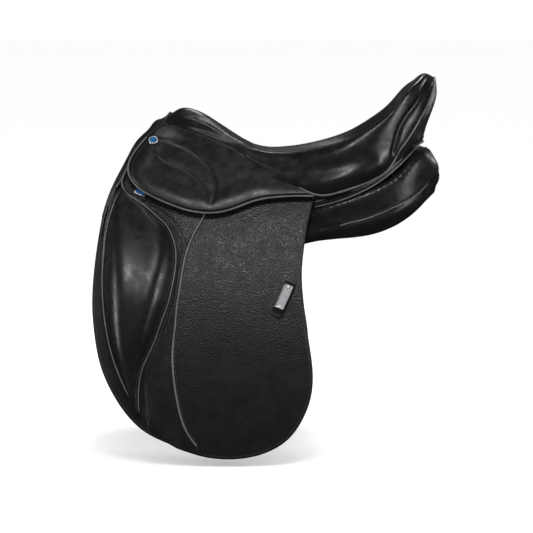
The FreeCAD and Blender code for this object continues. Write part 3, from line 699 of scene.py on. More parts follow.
# each leather's two colours, roughness, pebble scale, pebble depth and gloss
BLACK = (0.0036, 0.0037, 0.0041)
WORN = (0.0056, 0.0056, 0.0062)
seat_leather = leather("seat leather", BLACK, WORN, 0.30, 640, 0.04, 0.42)
skirt_leather = leather("skirt leather", BLACK, WORN, 0.33, 620, 0.06, 0.42)
block_leather = leather("knee block leather", BLACK, WORN, 0.32, 560, 0.12, 0.42)
grain_leather = leather("pebbled flap leather", (0.0042, 0.0043, 0.0047), (0.0064, 0.0064, 0.0069), 0.38, 460,
                        0.7, 0.45)
panel_leather = leather("panel leather", BLACK, WORN, 0.32, 540, 0.2, 0.42)
sweat_leather = leather("sweat flap leather", (0.005, 0.005, 0.0055), (0.01, 0.01, 0.011),
                       0.55, 600, 0.3, 0.3)
strap_leather = leather("strap leather", (0.006, 0.0057, 0.0055), (0.012, 0.0115, 0.011),
                       0.45, 700, 0.2, 0.35)
# the piping's light grey is a painted highlight: it stands in for the shine along the small round cords
highlight_painted_piping = leather("piping leather with painted highlight", (0.05, 0.048, 0.046), (0.085, 0.082, 0.078), 0.32, 700, 0.1, 0.5)
black_thread = thread("black thread", (0.06, 0.06, 0.063))
steel = metal("forged steel", (0.42, 0.43, 0.45), 0.34, 0.25)
rivet_steel = metal("rivet steel", (0.5, 0.5, 0.5), 0.3, 0.2)
bright_metal = metal("bright nickel", (0.78, 0.79, 0.81), 0.42, 0.04)
keeper_metal = metal("satin nickel", (0.62, 0.63, 0.65), 0.42, 0.2)
blue_enamel = enamel("blue enamel", (0.014, 0.105, 0.27))
beech = wood("laminated beech", (0.022, 0.013, 0.008), (0.04, 0.025, 0.015))
web_cloth = webbing("flax webbing", (0.30, 0.25, 0.17))

# the finishes of the CAD nodes that stay in view
FINISH = {
    "tree": beech, "gullet_plate": steel, "head_rivets": rivet_steel, "bar_rivets": rivet_steel,
    "stirrup_bar": steel, "catch": steel, "catch_pin": rivet_steel, "keeper_plate": keeper_metal,
    "keeper_pins": bright_metal, "pommel_stud": bright_metal, "stud_disc": blue_enamel,
    "dee_plate": bright_metal, "dee_enamel": blue_enamel,
}
for node_name, node in NODES.items():
    finish = FINISH.get(node_name.split("_", 1)[1] if node_name[:4] in ("near", "off_") else node_name)
    if finish:
        node.data.materials.clear()
        node.data.materials.append(finish)


# ---------------------------------------------------------------- flap and knee block
def bar_window(reach):
    """Opening over the stirrup bar and its catch, with rounded corners, as (x, z)."""
    low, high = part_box("near_stirrup_bar")
    x0, x1 = low.x / MM - 4, high.x / MM + reach
    bar = (low.z + high.z) / 2 / MM
    z0, z1 = bar - BAR_BELOW, bar + CATCH_SWEEP
    corner = 4.0
    loop = []
    for cx, cz, start in ((x1, z1, 0), (x0, z1, 90), (x0, z0, 180), (x1, z0, 270)):
        for step in range(6):
            t = math.radians(start + step * 18)
            sx = cx - math.copysign(corner, cx - (x0 + x1) / 2)
            sz = cz - math.copysign(corner, cz - (z0 + z1) / 2)
            loop.append((sx + corner * math.cos(t), sz + corner * math.sin(t)))
    return np.array(loop)[::-1]


def flap_relief(p):
    """Soft fold behind the knee block, sunk seams, and a slight wave in the large panel."""
    fold = gap_to_curve(p, SOFT_FOLD)
    rise = 1.5 * hump(fold, 3.6) + 0.5 * hump(fold, 10)
    rise -= 0.9 * hump(gap_to_curve(p, PANEL_PIPING), 1.6)
    rise -= 0.8 * hump(gap_to_curve(p, BLOCK_SEAM), 2.0)
    rise += 0.35 * np.sin(p[:, 0] / 31 + 0.7) * np.sin(p[:, 1] / 43) * smooth_step(p[:, 0], -110, -70)
    return rise


def flap_tube(line, rise, radius):
    """Piping along a line of the flap."""
    return tube(on_side(line, FLAP_OUT + flap_relief(line) + rise), radius)


def make_flap():
    loop = closed_loop(FLAP_FRONT, FLAP_FOOT, HEAD_TOP, HEAD_FRONT)
    shape = sheet(loop, FLAP_OUT, FLAP_T, flap_relief, (SOFT_FOLD, PANEL_PIPING, BLOCK_SEAM),
                  bar_window(30))
    add_sides("flap_leather", shape, grain_leather, "grain_leather", "flap", "flap_head", "flap")
    piping = joined([flap_tube(stepped(PANEL_PIPING, 3), 1.0, 1.6),
                     flap_tube(stepped(BLOCK_SEAM, 3), 1.2, 1.5),
                     flap_tube(beside(stepped(BLOCK_FRONT[1:], 3), -0.4), 1.0, 1.2)])
    add_sides("flap_piping", piping, highlight_painted_piping, "grain_leather", "flap")
    edge = beside(stepped(FLAP_FOOT, 2), 4.2)
    rows = [edge, beside(stepped(PANEL_PIPING, 2), 3.4), beside(stepped(SOFT_FOLD[4:], 2), -4.5)]
    sewn = joined([stitched(row, FLAP_OUT + flap_relief(row)) for row in rows])
    add_sides("flap_stitching", sewn, black_thread, None, "flap")


BLOCK_OUT = FLAP_OUT + 2.0


def block_span(z):
    """Front and rear of the knee block at the heights z."""
    front = stepped(BLOCK_FRONT, 2)
    rear = stepped(BLOCK_SEAM[3:], 2)
    return np.interp(-z, -front[:, 1], front[:, 0]), np.interp(-z, -rear[:, 1], rear[:, 0])


def block_relief(p):
    """Rise of the knee block: a profile from front to rear, scaled by its crown down the flap."""
    front, rear = block_span(p[:, 1])
    u = np.clip((p[:, 0] - front) / np.maximum(rear - front, 1), 0, 1)
    profile = cubic(BLOCK_PROFILE, 120)
    crown = cubic(BLOCK_CROWN[::-1], 120)
    rise = np.interp(u, profile[:, 0], profile[:, 1]) * np.interp(p[:, 1], crown[:, 0], crown[:, 1])
    lean = smooth_step(p[:, 1], -230, -20)
    rise *= 1 + 0.06 * lean * np.sin(6 * u + p[:, 1] / 55)
    limit = gap_to(p, closed_loop(BLOCK_FRONT[:-1], BLOCK_SEAM[:2:-1]), True)
    rise = np.maximum(rise, 0.4)
    return rise * (1 - np.exp(-1.9 * limit / rise))


def make_knee_block():
    loop = closed_loop(BLOCK_FRONT[:-1], BLOCK_SEAM[:2:-1])
    shape = sheet(loop, BLOCK_OUT, 1.6, block_relief, cell=3.2, roll=0.8)
    for obj in add_sides("knee_block", shape, block_leather, "block_leather", "flap",
                         "knee_block_cover", "knee_block_foam"):
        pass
    row = beside(stepped(BLOCK_SEAM[5:], 2), -3.0)
    sewn = stitched(row, BLOCK_OUT + block_relief(row))
    add_sides("knee_block_stitching", sewn, black_thread, None, "flap")


# ---------------------------------------------------------------- skirt
TUCK = 7.0                  # the skirt runs this far under the seat
TUCK_SLOPE = 0.42


def skirt_relief(p):
    """Padding: a full roll inside the free edge, sunk leaf seams, and a top edge that meets the seat."""
    free = stepped(SKIRT_FRONT + SKIRT_EDGE, 3)
    d = gap_to(p, free)
    full = smooth_step(p[:, 0], 60, -60)
    rise = (0.5 + 1.6 * full) * hump(d - 16, 11) - 0.4 * hump(d - 5.0, 1.5)
    for line in (LEAF_UPPER, LEAF_LOWER):
        leaf = gap_to_curve(p, line)
        rise -= 0.75 * hump(leaf, 1.7) + 0.7 * hump(leaf, 7)
    seam = np.array(SEAT_RAILS[0])
    radius = np.hypot(seam[:, 1] + AXIS_Y, seam[:, 2] - AXIS_Z) - SKIRT_OUT
    to_seam = gap_to_curve(p, SKIRT_TOP)
    near_seam = 1 - smooth_step(to_seam, 0, 26)
    rise = rise * (1 - near_seam) + np.interp(p[:, 0], seam[:, 0], radius) * near_seam
    past = ~inside(p, closed_loop(SKIRT_TOP, SKIRT_FRONT, SKIRT_EDGE))
    tucked = past & (to_seam < TUCK + 1) & (d > 0.6)
    return rise - np.where(tucked, TUCK_SLOPE * to_seam, 0)


def skirt_top():
    """Upper edge of the skirt, where it runs under the seat's leather."""
    seam = stepped(SKIRT_TOP, 3)
    along = np.linspace(0, 1, len(seam))
    reach = TUCK * smooth_step(along, 0, 0.06) * (1 - smooth_step(along, 0.94, 1))
    raised = beside(seam, -1.0)
    return [tuple(a + (b - a) * r) for a, b, r in zip(seam, raised, reach)]


def make_skirt():
    loop = closed_loop(skirt_top(), SKIRT_FRONT, SKIRT_EDGE)
    shape = sheet(loop, SKIRT_OUT, SKIRT_T, skirt_relief, (LEAF_UPPER, LEAF_LOWER), cell=3.4, roll=4.4)
    for obj in add_sides("skirt_leather", shape, skirt_leather, "skirt_leather", "skirt",
                         "skirt_head", "skirt"):
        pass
    edge = stepped(SKIRT_FRONT[1:] + SKIRT_EDGE, 2.4)
    piping = tube(on_side(beside(edge, -0.6), SKIRT_OUT - 3.2), 1.6)
    add_sides("skirt_piping", piping, highlight_painted_piping, "skirt_leather", "skirt")
    row = beside(edge, 5.2)[2:-4]
    sewn = stitched(row, SKIRT_OUT + skirt_relief(row), *SMALL_STITCH)
    add_sides("skirt_stitching", sewn, black_thread, None, "skirt")


# ---------------------------------------------------------------- seat and cantle
SEAT_RAILS = [
    # the lower edge: waist seam, rear welt, and up the cantle's side seam
    [(-157, 37, 179), (-135, 47, 171.5), (-108, 58, 164), (-78, 70, 153), (-51, 80.5, 141), (-26, 92, 126),
     (0, 103.5, 109), (24, 113.5, 96), (48, 120, 86), (80, 128, 73), (111, 129, 78), (140, 124, 87),
     (166, 114, 97.5), (184, 105, 109), (199, 96, 131)],
    [(-155, 32, 184), (-135, 42, 178), (-108, 51, 170), (-78, 61, 160), (-51, 74, 149), (-26, 87, 136),
     (0, 99, 123), (24, 110, 113), (48, 120, 106), (80, 130, 101), (111, 134, 106), (140, 131, 117),
     (166, 121, 130), (191, 107, 146), (216, 87, 158)],
    [(-153, 27, 188), (-135, 34, 187), (-108, 42, 181), (-78, 52, 168), (-51, 66, 155), (-26, 80, 144),
     (0, 93, 136), (24, 103, 132), (48, 112, 131), (80, 120, 135), (111, 124, 144), (140, 122, 158),
     (168, 115, 173), (194, 103, 192), (216, 88, 206), (235, 74, 188)],
    [(-151, 20, 190.5), (-135, 24, 193), (-108, 30, 188), (-78, 40, 174), (-51, 53, 158), (-26, 66, 145),
     (0, 78, 137.5), (24, 88, 136.5), (48, 96, 138), (80, 104, 143.5), (111, 110, 152), (142, 110, 165),
     (172, 103, 184), (203, 88, 212), (228, 70, 236), (249, 56, 213)],
    [(-149, 10, 191.5), (-135, 12, 198), (-108, 15, 195), (-78, 21, 178.5), (-51, 29, 160.5),
     (-26, 37, 145.5), (0, 45, 137), (24, 51, 134.5), (48, 55, 134.5), (80, 59, 136.5), (111, 62, 141),
     (145, 62, 150), (180, 58, 172), (214, 48, 210), (241, 38, 248), (259, 28, 240)],
    [(-148, 0, 191.5), (-135, 0, 199.5), (-108, 0, 196), (-78, 0, 179), (-51, 0, 160.5), (-26, 0, 145),
     (0, 0, 136.5), (24, 0, 134), (48, 0, 134), (80, 0, 135.5), (111, 0, 138.5), (146, 0, 144),
     (184, 0, 165), (218, 0, 207), (249, 0, 254), (261, 0, 248)],
]
CANTLE_RAILS = [
    [(260.6, 28, 239.5), (255.5, 44, 225), (247, 60, 206), (235, 74.5, 185), (219, 86.5, 157),
     (201.6, 96, 131), (194, 97, 118)],
    [(261.6, 20, 243), (259.5, 32, 221), (253, 44, 203), (245, 55, 186), (235, 64, 166), (226, 72, 146),
     (217, 75, 129)],
    [(263, 10, 246), (264, 16, 220), (259, 22, 202), (253, 28, 187), (246, 32, 170), (241, 35, 153),
     (236, 37, 142)],
    [(263.6, 0, 247), (265.5, 0, 220), (260.5, 0, 202), (255, 0, 187), (249, 0, 170), (245, 0, 155),
     (242, 0, 146)],
]
CANTLE_GROOVE = [(253.5, 250), (244.8, 238.3), (234.3, 217.2), (220.4, 197.9), (209.9, 183.8), (202.9, 169.7),
                 (198.6, 155.7), (195.5, 144), (193, 134)]
CANTLE_FACET = [(253, 240), (245, 219), (235, 197), (222, 174), (210, 152)]
THIGH_ROLL = [(-30, 128), (0, 110), (35, 97), (70, 90), (105, 93), (140, 104), (170, 118)]
THIGH_HOLLOW = [(-20, 138), (10, 126), (45, 117), (75, 114), (110, 118), (145, 130)]


def turned_under(rail):
    """The seat leather's hidden edge: below the waist seam on the barrel, inwards behind the welt."""
    x, y, z = np.array(rail, float).T
    low = z - 6.2
    radius = np.hypot(y + AXIS_Y, z - AXIS_Z) - 3.5
    below = np.sqrt(radius ** 2 - (low - AXIS_Z) ** 2) - AXIS_Y
    share = smooth_step(x, 40, 80)
    return list(zip(x, below + (y - 10 - below) * share, low + (z - 8 - low) * share))


def seat_relief(top):
    """Sunk seam and raised facet down each side of the cantle, and a soft roll along the thigh."""
    flat = top[:, :, [0, 2]].reshape(-1, 2)
    side = smooth_step(np.abs(top[:, :, 1]).ravel(), 16, 38)
    groove = hump(gap_to_curve(flat, CANTLE_GROOVE), 3.4) * side
    facet = hump(gap_to_curve(flat, CANTLE_FACET), 9.0) * side
    roll = hump(gap_to_curve(flat, THIGH_ROLL), 12.0) * side
    hollow = hump(gap_to_curve(flat, THIGH_HOLLOW), 13.0) * side
    return (1.8 * facet - 2.8 * groove + 3.0 * roll - 2.8 * hollow).reshape(top.shape[:2])[:, :, None]


def make_seat():
    top = rail_grid(across_saddle([turned_under(SEAT_RAILS[0])] + SEAT_RAILS), 190, 121)
    top = top + net_normals(top, 60, 80, 2) * seat_relief(top)
    up = net_normals(top, 60, 80, 2)
    seat = add_fixed("seat_leather", slab(top, top - up * 3.4, 0.2), seat_leather, "seat_leather",
                     "seat_cover", "seat_foam")
    rear = stepped([(x, -y, z) for x, y, z in SEAT_RAILS[0][8:]], 3) + [0.3, -0.6, -0.9]
    crest = top[:, -1] + up[:, -1] * 0.2 + [0.8, 0, -0.4]
    welts = [tube(path, 1.5) for path in (rear, mirror(rear), crest)]
    add_fixed("seat_welt", joined(welts), highlight_painted_piping, "seat_leather")


def make_cantle():
    grid = rail_grid(across_saddle(CANTLE_RAILS), 50, 61)
    out = net_normals(grid, 30, 25, 0)
    add_fixed("cantle_leather", slab(grid, grid - out * 3.0, 0.35), seat_leather, "cantle_leather",
              "cantle_cover")
    row = grid[3] + out[3] * ON_TOP
    sewn = [stitches(row * [1, sign, 1], out[3] * [1, sign, 1], *SMALL_STITCH) for sign in (1, -1)]
    add_fixed("cantle_stitching", joined(sewn), black_thread, None)


# ---------------------------------------------------------------- facings
FACING_FRONT = [(-253, 12), (-249.5, 38), (-242, 64), (-233.5, 86), (-223.6, 106), (-210, 133), (-196, 155),
                (-181, 169.5), (-166, 183)]
FACING_BACK = [(-249.8, 14), (-245.6, 38), (-237.5, 62), (-228.5, 82), (-213, 109), (-200, 131),
               (-186, 147.5), (-170, 163), (-155, 177)]
FACING_TOP_FRONT = (-153.5, 0, 194)
FACING_TOP_BACK = (-145, 0, 191)
# each layer's radius, thickness, and how far its front and back edges stand in
FACING_LAYERS = ((664.6, 4.2, 4.2, 0), (660.2, 4.6, 1.6, 0.8), (655.4, 5.6, 0.4, 1.2))


def facing_layer(radius, thick, front_in, back_in, first):
    """One strip round the pommel, from its first place upwards: its net, normals and shape."""
    rails = []
    for line, top, inset in ((FACING_FRONT, FACING_TOP_FRONT, front_in),
                             (FACING_BACK, FACING_TOP_BACK, -back_in)):
        places = np.array([(x + inset, z - inset * 0.4) for x, z in line[first:]])
        low = np.interp(places[:, 1], [10, 90], [SWEAT_OUT + thick * 0.7, radius])
        side = on_side(places, low)
        crown = (top[0] + inset, 0, top[2] + (radius - FACING_LAYERS[0][0]) * 1.1)
        rails.append(arch(list(side) + [crown]))
    grid = strip_grid(*rails, 150, 7)
    out = net_normals(grid, 3, 20, 1, -1)
    return grid, out, slab(grid, grid - out * thick, 0.5)


def make_front_facing():
    layers = [facing_layer(*layer, first) for layer, first in zip(FACING_LAYERS, (3, 0, 1))]
    add_fixed("front_facing_leather", joined([shape for _, _, shape in layers]), skirt_leather,
              "facing_leather", "front_facing")
    grid, out, _ = layers[0]
    sewn = stitches(grid[1] + out[1] * ON_TOP, out[1], *SMALL_STITCH)
    add_fixed("front_facing_stitching", sewn, black_thread, None)


REAR_PLAN = [(73, 113), (104, 118), (140, 116), (168, 108), (192, 95), (214, 78), (232, 52), (242, 22),
             (244.8, 0)]
REAR_UPPER_Z = [61, 70, 82, 95.5, 113, 133, 150, 154.5, 155]
REAR_LOWER_Z = [53, 61, 74.5, 89, 106, 125, 142, 147.5, 148]


def make_rear_facing():
    rails = [arch([(x, -y, z) for (x, y), z in zip(REAR_PLAN, heights)])
             for heights in (REAR_UPPER_Z, REAR_LOWER_Z)]
    grid = strip_grid(*rails, 160, 9)
    out = net_normals(grid, 4, 10, 1, -1)
    add_fixed("rear_facing_leather", slab(grid, grid - out * 6.0, 0.4), skirt_leather, "facing_leather",
              "rear_facing")
    piping = joined([tube(grid[edge] + out[edge] * 0.5, 1.4) for edge in (0, -1)])
    add_fixed("rear_facing_piping", piping, highlight_painted_piping, "facing_leather")
    add_fixed("rear_facing_stitching", stitches(grid[4] + out[4] * ON_TOP, out[4]), black_thread, None)


# ---------------------------------------------------------------- sweat flap
def make_sweat_flap():
    loop = closed_loop(SWEAT_FRONT, SWEAT_FOOT, SWEAT_TOP, SWEAT_HEAD)
    shape = sheet(loop, SWEAT_OUT, SWEAT_T, window=bar_window(34), cell=5.5)
    add_sides("sweat_flap_leather", shape, sweat_leather, "sweat_leather", "root", "sweat_flap")
    edge = beside(stepped(SWEAT_FRONT + SWEAT_FOOT, 2), 4.0)
    add_sides("sweat_flap_stitching", stitched(edge, SWEAT_OUT), black_thread, None, "root")


# ---------------------------------------------------------------- panels
def panel_loops(stations, around):
    """Cross-sections of the near panel, from the front to the rear."""
    r = PANEL_OUT
    deep = r - 21

    def on(x, z, radius):
        return tuple(on_side((x, z), radius)[0])

    tree_side = [
        [on(-200, 120, r), on(-160, 113, r), on(-110, 102, r), (-50, -31, 86), (20, -32, 68), (80, -33, 64),
         (150, -33, 76), (205, -33, 102), (236, -32, 126), (251, -28, 138)],
        [on(-226, 84, r), on(-185, 80, r), on(-130, 74, r), (-55, -62, 74), (5, -67, 64), (80, -90, 58),
         (150, -88, 80), (203, -70, 112), (236, -46, 140), (253, -34, 136)],
        [on(-243, 34, r), on(-205, 30, r), on(-150, 28, r), on(-65, 30, r), (0, -88, 44), (80, -115, 52),
         (150, -115, 74), (208, -91, 108), (240, -58, 137), (258, -40, 128)],
        [on(-252, -40, r), on(-215, -38, r), on(-160, -28, r), on(-75, -12, r), on(0, 2, r), (80, -119, 30),
         (152, -120, 44), (212, -100, 70), (248, -69, 97), (266, -49, 100)],
        [on(-248, -110, r), on(-218, -110, r), on(-165, -92, r), on(-85, -56, r), on(-5, -22, r),
         (80, -121, 14), (153, -122, 27), (214, -100, 52), (249, -68, 77), (265, -47, 87)],
        [on(-234, -146, r), on(-210, -150, r), on(-165, -132, r), on(-90, -84, r), on(-8, -34, r),
         (80, -117, 4), (154, -113, 15), (214, -92, 37), (248, -63, 62), (261, -45, 76)],
    ]
    horse_side = [
        [on(-197, 114, r - 8), on(-160, 104, r - 14), on(-110, 92, r - 16), (-50, -31, 64), (20, -32, 40),
         (80, -33, 26), (150, -33, 32), (205, -33, 52), (238, -32, 80), (252, -28, 104)],
        [on(-220, 80, r - 9), on(-185, 74, deep), on(-130, 67, deep - 3), (-55, -52, 50), (15, -58, 32),
         (80, -60, 17), (150, -60, 24), (205, -54, 45), (240, -46, 74), (256, -38, 98)],
        [on(-236, 32, r - 9), on(-205, 28, deep), on(-150, 24, deep - 4), on(-65, 18, deep), (5, -74, 14),
         (80, -80, 9), (150, -80, 16), (208, -70, 38), (243, -56, 68), (258, -44, 90)],
        [on(-245, -40, r - 9), on(-215, -38, deep), on(-160, -30, deep - 4), on(-75, -18, deep),
         on(0, -6, r - 22), (80, -97, 4), (152, -95, 11), (212, -80, 34), (247, -60, 64), (260, -46, 84)],
        [on(-241, -106, r - 8), on(-218, -106, deep + 2), on(-165, -90, deep), on(-85, -56, deep + 2),
         on(-5, -24, r - 18), (80, -108, 1.5), (153, -105, 9), (214, -86, 33), (248, -62, 62),
         (260, -45, 77)],
        [on(-231, -138, r - 6), on(-210, -142, r - 10), on(-165, -126, r - 11), on(-90, -79, r - 11),
         on(-8, -30, r - 10), (80, -113, 1), (154, -109, 9.5), (214, -88, 34), (248, -62, 61),
         (260, -44, 70)],
    ]
    rails = [cubic(rail, stations) for rail in tree_side + horse_side[::-1]]
    return np.array([closed_spline([rail[k] for rail in rails], around) for k in range(stations)])


GUSSET_SEAM = [(266, 103), (252, 88), (226, 67), (200, 54.5), (156, 37), (130, 30), (108, 24.5), (84, 21)]
PANEL_CAPS = ((0.97, 1.5), (0.86, 3.3), (0.62, 4.8), (0.3, 5.4))      # size and reach of the end rings
PUCKER_LINE = [(79, 52), (104, 60), (140, 73), (173, 92), (200, 111), (217, 126), (245, 147)]


def nearest_on(points, places):
    """Points of a surface that lie at places (x, z)."""
    out = []
    for place in places:
        d = np.hypot(points[:, 0] - place[0], points[:, 2] - place[1]) + 0.05
        close = np.argsort(d)[:4]
        weight = 1 / d[close] ** 2
        out.append((points[close] * weight[:, None]).sum(0) / weight.sum())
    return np.array(out)


def make_gusset_seam(skin):
    """Thin piping and a stitch row along the seam between the panel's face and its gusset."""
    places = stepped(GUSSET_SEAM[1:-1], 3.5)
    path = cubic(nearest_on(skin, places)[::3], 90)
    piping = tube(path + [0, -0.5, 0.2], 1.0)
    add_sides("panel_piping", piping, highlight_painted_piping, "panel_leather", "root")
    row = cubic(nearest_on(skin, places + [0.8, 4.2])[::3], 90)
    normal = np.tile([0.1, -0.95, 0.3], (len(row), 1))
    sewn = stitches(row + [0, -0.25, 0], normal)
    add_sides("panel_stitching", sewn, black_thread, None, "root")


def make_panel():
    """Leather tubes round the flocking, with puckers, a gusset seam and rounded ends."""
    around = 88
    loops = panel_loops(170, around)
    stations = len(loops)
    centre = loops.mean(1)
    out = loops - centre[:, None]
    out = out / np.linalg.norm(out, axis=2)[:, :, None]
    flat = loops[:, :, [0, 2]].reshape(-1, 2)
    facing = smooth_step(-out[:, :, 1].ravel(), 0.15, 0.6)
    relief = -1.5 * hump(gap_to_curve(flat, GUSSET_SEAM), 2.6)
    pucker = hump(gap_to_curve(flat, PUCKER_LINE) - 8, 7)
    relief += 0.45 * pucker * np.sin((flat[:, 0] + flat[:, 1]) / 2.1)
    relief += 1.6 * smooth_step(flat[:, 0], 120, 240)
    loops = loops + out * (relief * facing).reshape(stations, around)[:, :, None]
    make_gusset_seam(loops[out[:, :, 1] < -0.1].reshape(-1, 3))
    ends = []
    for k, direction in ((0, -1), (stations - 1, 1)):
        lead = centre[k] - centre[k - direction]
        lead = lead / np.linalg.norm(lead)
        ends.append([centre[k] + (loops[k] - centre[k]) * share + lead * push for share, push in PANEL_CAPS])
    points = np.concatenate([ends[0][::-1], loops, ends[1]]).reshape(-1, 3)
    shape = outward(points, tube_faces(stations + 2 * len(PANEL_CAPS), around))
    for obj in add_sides("panel_leather", shape, panel_leather, "panel_leather", "root",
                         "panel", "flocking"):
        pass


# ---------------------------------------------------------------- billets, keeper and webs
def make_billet(name, x, r_out):
    body = f"SIDE_{name}"
    low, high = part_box(f"near_{name}")
    tip = low.z / MM
    top = high.z / MM
    half = (high.x - low.x) / 2 / MM
    loop = closed_loop([(x - half, top)], [(x - half, tip + 14)], [(x - 7, tip + 4), (x, tip),
                       (x + 7, tip + 4), (x + half, tip + 14)], [(x + half, top)])
    shape = sheet(loop, r_out, BILLET_T, roll=1.4)
    add_sides(f"{name}_leather", shape, strap_leather, "billet_leather", body, name)
    sewn = []
    for offset in (-half + 2.6, half - 2.6):
        sewn.append(stitched(stepped([(x + offset, top - 3), (x + offset, tip + 16)], 4), r_out))
    add_sides(f"{name}_stitching", joined(sewn), black_thread, None, body)


# the keeper stands on the flap: X along the loop, Z outwards
KEEPER_X = 26.0
KEEPER_Z = -79.0
KEEPER_TURN = 90 - 23.6
KEEPER_W = 13.5
STRAP_TOP = [(-29.5, 1.5), (-26, 2.3), (-23.4, 5.2), (-20.6, 9.1), (-14, 9.6), (0, 9.6), (14, 9.6),
             (20.6, 9.1), (23.4, 5.2), (26, 2.3), (29.5, 1.5)]
STRAP_UNDER = [(-29.5, -0.7), (-25.2, -0.5), (-21.6, 2.6), (-18.8, 6.5), (-13, 7.0), (0, 7.0), (13, 7.0),
               (18.8, 6.5), (21.6, 2.6), (25.2, -0.5), (29.5, -0.7)]
PLATE_LEN = 40.0
PLATE_BASE = 9.65
PLATE_T = 1.6


def on_keeper(points):
    flat = points.reshape(-1, 3)
    return standing_on(flat, KEEPER_X, KEEPER_Z, FLAP_OUT + 0.8, KEEPER_TURN).reshape(points.shape)


def make_keeper_strap():
    """Leather loop that holds the stirrup leather's end, sewn down at both ends."""
    across = np.linspace(-KEEPER_W / 2, KEEPER_W / 2, 9)
    grids = []
    for line in (STRAP_TOP, STRAP_UNDER):
        run = cubic(line, 64)
        grids.append(np.array([[(x, y, h) for x, h in run] for y in across]))
    shape = slab(on_keeper(grids[0]), on_keeper(grids[1]), 0.4)
    add_sides("keeper_loop", shape, strap_leather, "strap_leather", "SIDE_flap", "keeper_strap")
    rows = []
    for x in (-27.6, 27.6):
        row = on_keeper(np.array([(x, y, 2.05) for y in np.linspace(-5.6, 5.6, 12)]))
        rows.append(stitches(row, side_normal(row), 2.2, 0.9))
    for y in (-5.3, 5.3):
        row = on_keeper(np.array([(x, y, 2.0) for x in (-29, -27.6, -26.4)]))
        rows.append(stitches(row, side_normal(row), 1.8, 0.2))
    add_sides("keeper_stitching", joined(rows), black_thread, None, "SIDE_flap")


def make_keeper_plate():
    """Plain metal plate with a raised border and fine lengthwise ribs."""
    corner = 2.2
    x = np.concatenate([np.linspace(-20, -17.6, 7), np.linspace(-17, 17, 30), np.linspace(17.6, 20, 7)])
    past = np.maximum(np.abs(x) - (PLATE_LEN / 2 - corner), 0)
    half = KEEPER_W / 2 - corner + np.sqrt(corner ** 2 - past ** 2)
    share = np.concatenate([[-1, -0.95, -0.9], np.linspace(-0.84, 0.84, 25), [0.9, 0.95, 1]])
    y = share[:, None] * half
    edge = np.minimum(PLATE_LEN / 2 - np.abs(x)[None], half - np.abs(y))
    height = PLATE_BASE + PLATE_T - 0.45 + 0.55 * hump(edge - 1.2, 0.7)
    height = height + 0.12 * np.cos(y * 2.6) * smooth_step(edge, 1.8, 2.6) - 0.3 * hump(edge, 0.5)
    spread = np.broadcast_to(x, y.shape)
    top = np.stack([spread, y, height], axis=2)
    under = np.stack([spread, y, np.full(y.shape, PLATE_BASE)], axis=2)
    shape = slab(on_keeper(top), on_keeper(under), 0.15)
    add_sides("keeper_badge_plate", shape, keeper_metal, "keeper_metal", "SIDE_flap", "keeper_plate")


SEAT_WEB_LINE = [(-53, 135), (-45, 130.8), (-4, 111.8), (43, 105.8), (95, 106.8), (140, 112.8), (175, 126.4),
                 (196, 142)]
WEB_T = 1.8


def make_webs():
    """Flax webs: one along the seat, and two over the tree that carry the billets."""
    line = cubic(SEAT_WEB_LINE, 60) + [0, 2.3]
    top = np.array([[(x, y, z) for x, z in line] for y in np.linspace(-27, 27, 15)])
    add_fixed("seat_webbing", slab(top, top - [0, 0, WEB_T], 0.4), web_cloth, "webbing", "seat_web")
    for name, x, crest, slope in (("front", -58, 142.8, -0.47), ("rear", 0, 119.0, -0.2)):
        rails = []
        for edge in np.linspace(-12.3, 12.3, 7):
            rise = slope * edge
            side = on_side([(x + edge, 65), (x + edge, 82)], WEB_OUT)
            over = [(-float(half_width(crest - 20, WEB_OUT)), crest - 20), (-42, crest - 0.5), (0, crest)]
            rails.append(cubic(arch(list(side) + [(x + edge, y, z + rise) for y, z in over]), 90))
        grid = np.array(rails)
        shape = slab(grid, grid - net_normals(grid, 3, 45, 2) * WEB_T, 0.4)
        add_fixed(f"{name}_girth_webbing", shape, web_cloth, "webbing", f"{name}_girth_web")


make_flap()
make_knee_block()
make_skirt()
make_seat()
make_cantle()
make_front_facing()
make_rear_facing()
make_sweat_flap()
make_panel()
make_billet("front_billet", -58, FRONT_BILLET_OUT)
make_billet("rear_billet", 0, REAR_BILLET_OUT)
make_keeper_strap()
make_keeper_plate()
make_webs()


# ---------------------------------------------------------------- studio
FLOOR_REACH = 90.0          # metres, as are the studio's other sizes
FLOOR_GAP = 0.012
CAMERA_DISTANCE = 4.0
CAMERA_RISE = math.radians(5.5)
CAMERA_TARGET = Vector((0, 0, -0.049))
CAMERA_LENS = 171.8         # mm
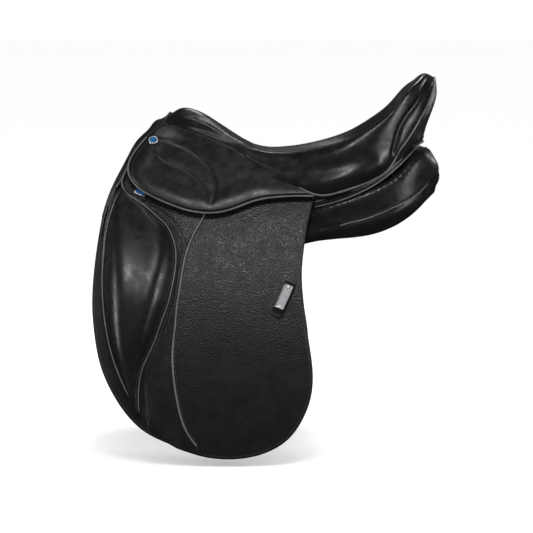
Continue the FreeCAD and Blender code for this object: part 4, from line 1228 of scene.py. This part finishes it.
# each lamp's place from the middle, width, height and watts
LAMPS = {
    "key": ((-0.1, -2.0, 1.95), 0.5, 0.35, 15),
    "rear": ((0.42, -1.7, 2.15), 0.35, 0.25, 7),
    "left": ((-2.3, -1.2, 0.45), 0.45, 1.5, 24),
    "right": ((2.3, -1.2, 0.7), 0.35, 1.3, 20),
    "top": ((0.2, 0.3, 2.4), 0.9, 0.4, 5),
    "fill": ((0.0, -3.4, 1.6), 4.5, 2.6, 4),
    "back": ((0.2, 2.0, 1.9), 0.6, 0.4, 8),
    "back left": ((-2.0, 1.8, 0.6), 0.5, 1.4, 12),
    "back right": ((2.0, 1.8, 0.6), 0.5, 1.4, 12),
    "back fill": ((0.0, 3.4, 1.6), 4.5, 2.6, 3),
}


def make_studio():
    low, high = cad_box
    middle = (low + high) / 2
    mesh = bpy.data.meshes.new("studio floor")
    corners = [(x * FLOOR_REACH, y * FLOOR_REACH, low.z - FLOOR_GAP)
               for x, y in ((-1, -1), (1, -1), (1, 1), (-1, 1))]
    mesh.from_pydata(corners, [], [(0, 1, 2, 3)])
    floor = placed("studio_floor", mesh)
    mesh.materials.append(paper("studio paper", (0.96, 0.96, 0.96)))

    # pale surroundings that light the leather softly but leave its gloss to the lamps
    floor.visible_glossy = False
    world = bpy.data.worlds.new("studio")
    bpy.context.scene.world = world
    world.use_nodes = True
    world.node_tree.nodes["Background"].inputs["Color"].default_value = (1, 1, 1, 1)
    world.node_tree.nodes["Background"].inputs["Strength"].default_value = 1.12
    world.cycles_visibility.glossy = False

    for name, (place, width, height, power) in LAMPS.items():
        lamp = bpy.data.lights.new(name, "AREA")
        lamp.shape = "RECTANGLE"
        lamp.size = width
        lamp.size_y = height
        lamp.energy = power
        obj = placed(name, lamp)
        obj.location = middle + Vector(place)
        obj.rotation_euler = (middle - obj.location).to_track_quat("-Z", "Y").to_euler()
        obj.visible_camera = False

    camera = bpy.data.cameras.new("camera")
    camera.lens = CAMERA_LENS
    camera.sensor_width = 36
    eye = placed("camera", camera)
    away = Vector((0, -math.cos(CAMERA_RISE), math.sin(CAMERA_RISE)))
    eye.location = CAMERA_TARGET + away * CAMERA_DISTANCE
    eye.rotation_euler = (math.pi / 2 - CAMERA_RISE, 0, 0)
    bpy.context.scene.camera = eye
    bpy.context.scene.view_settings.view_transform = "Standard"


make_studio()
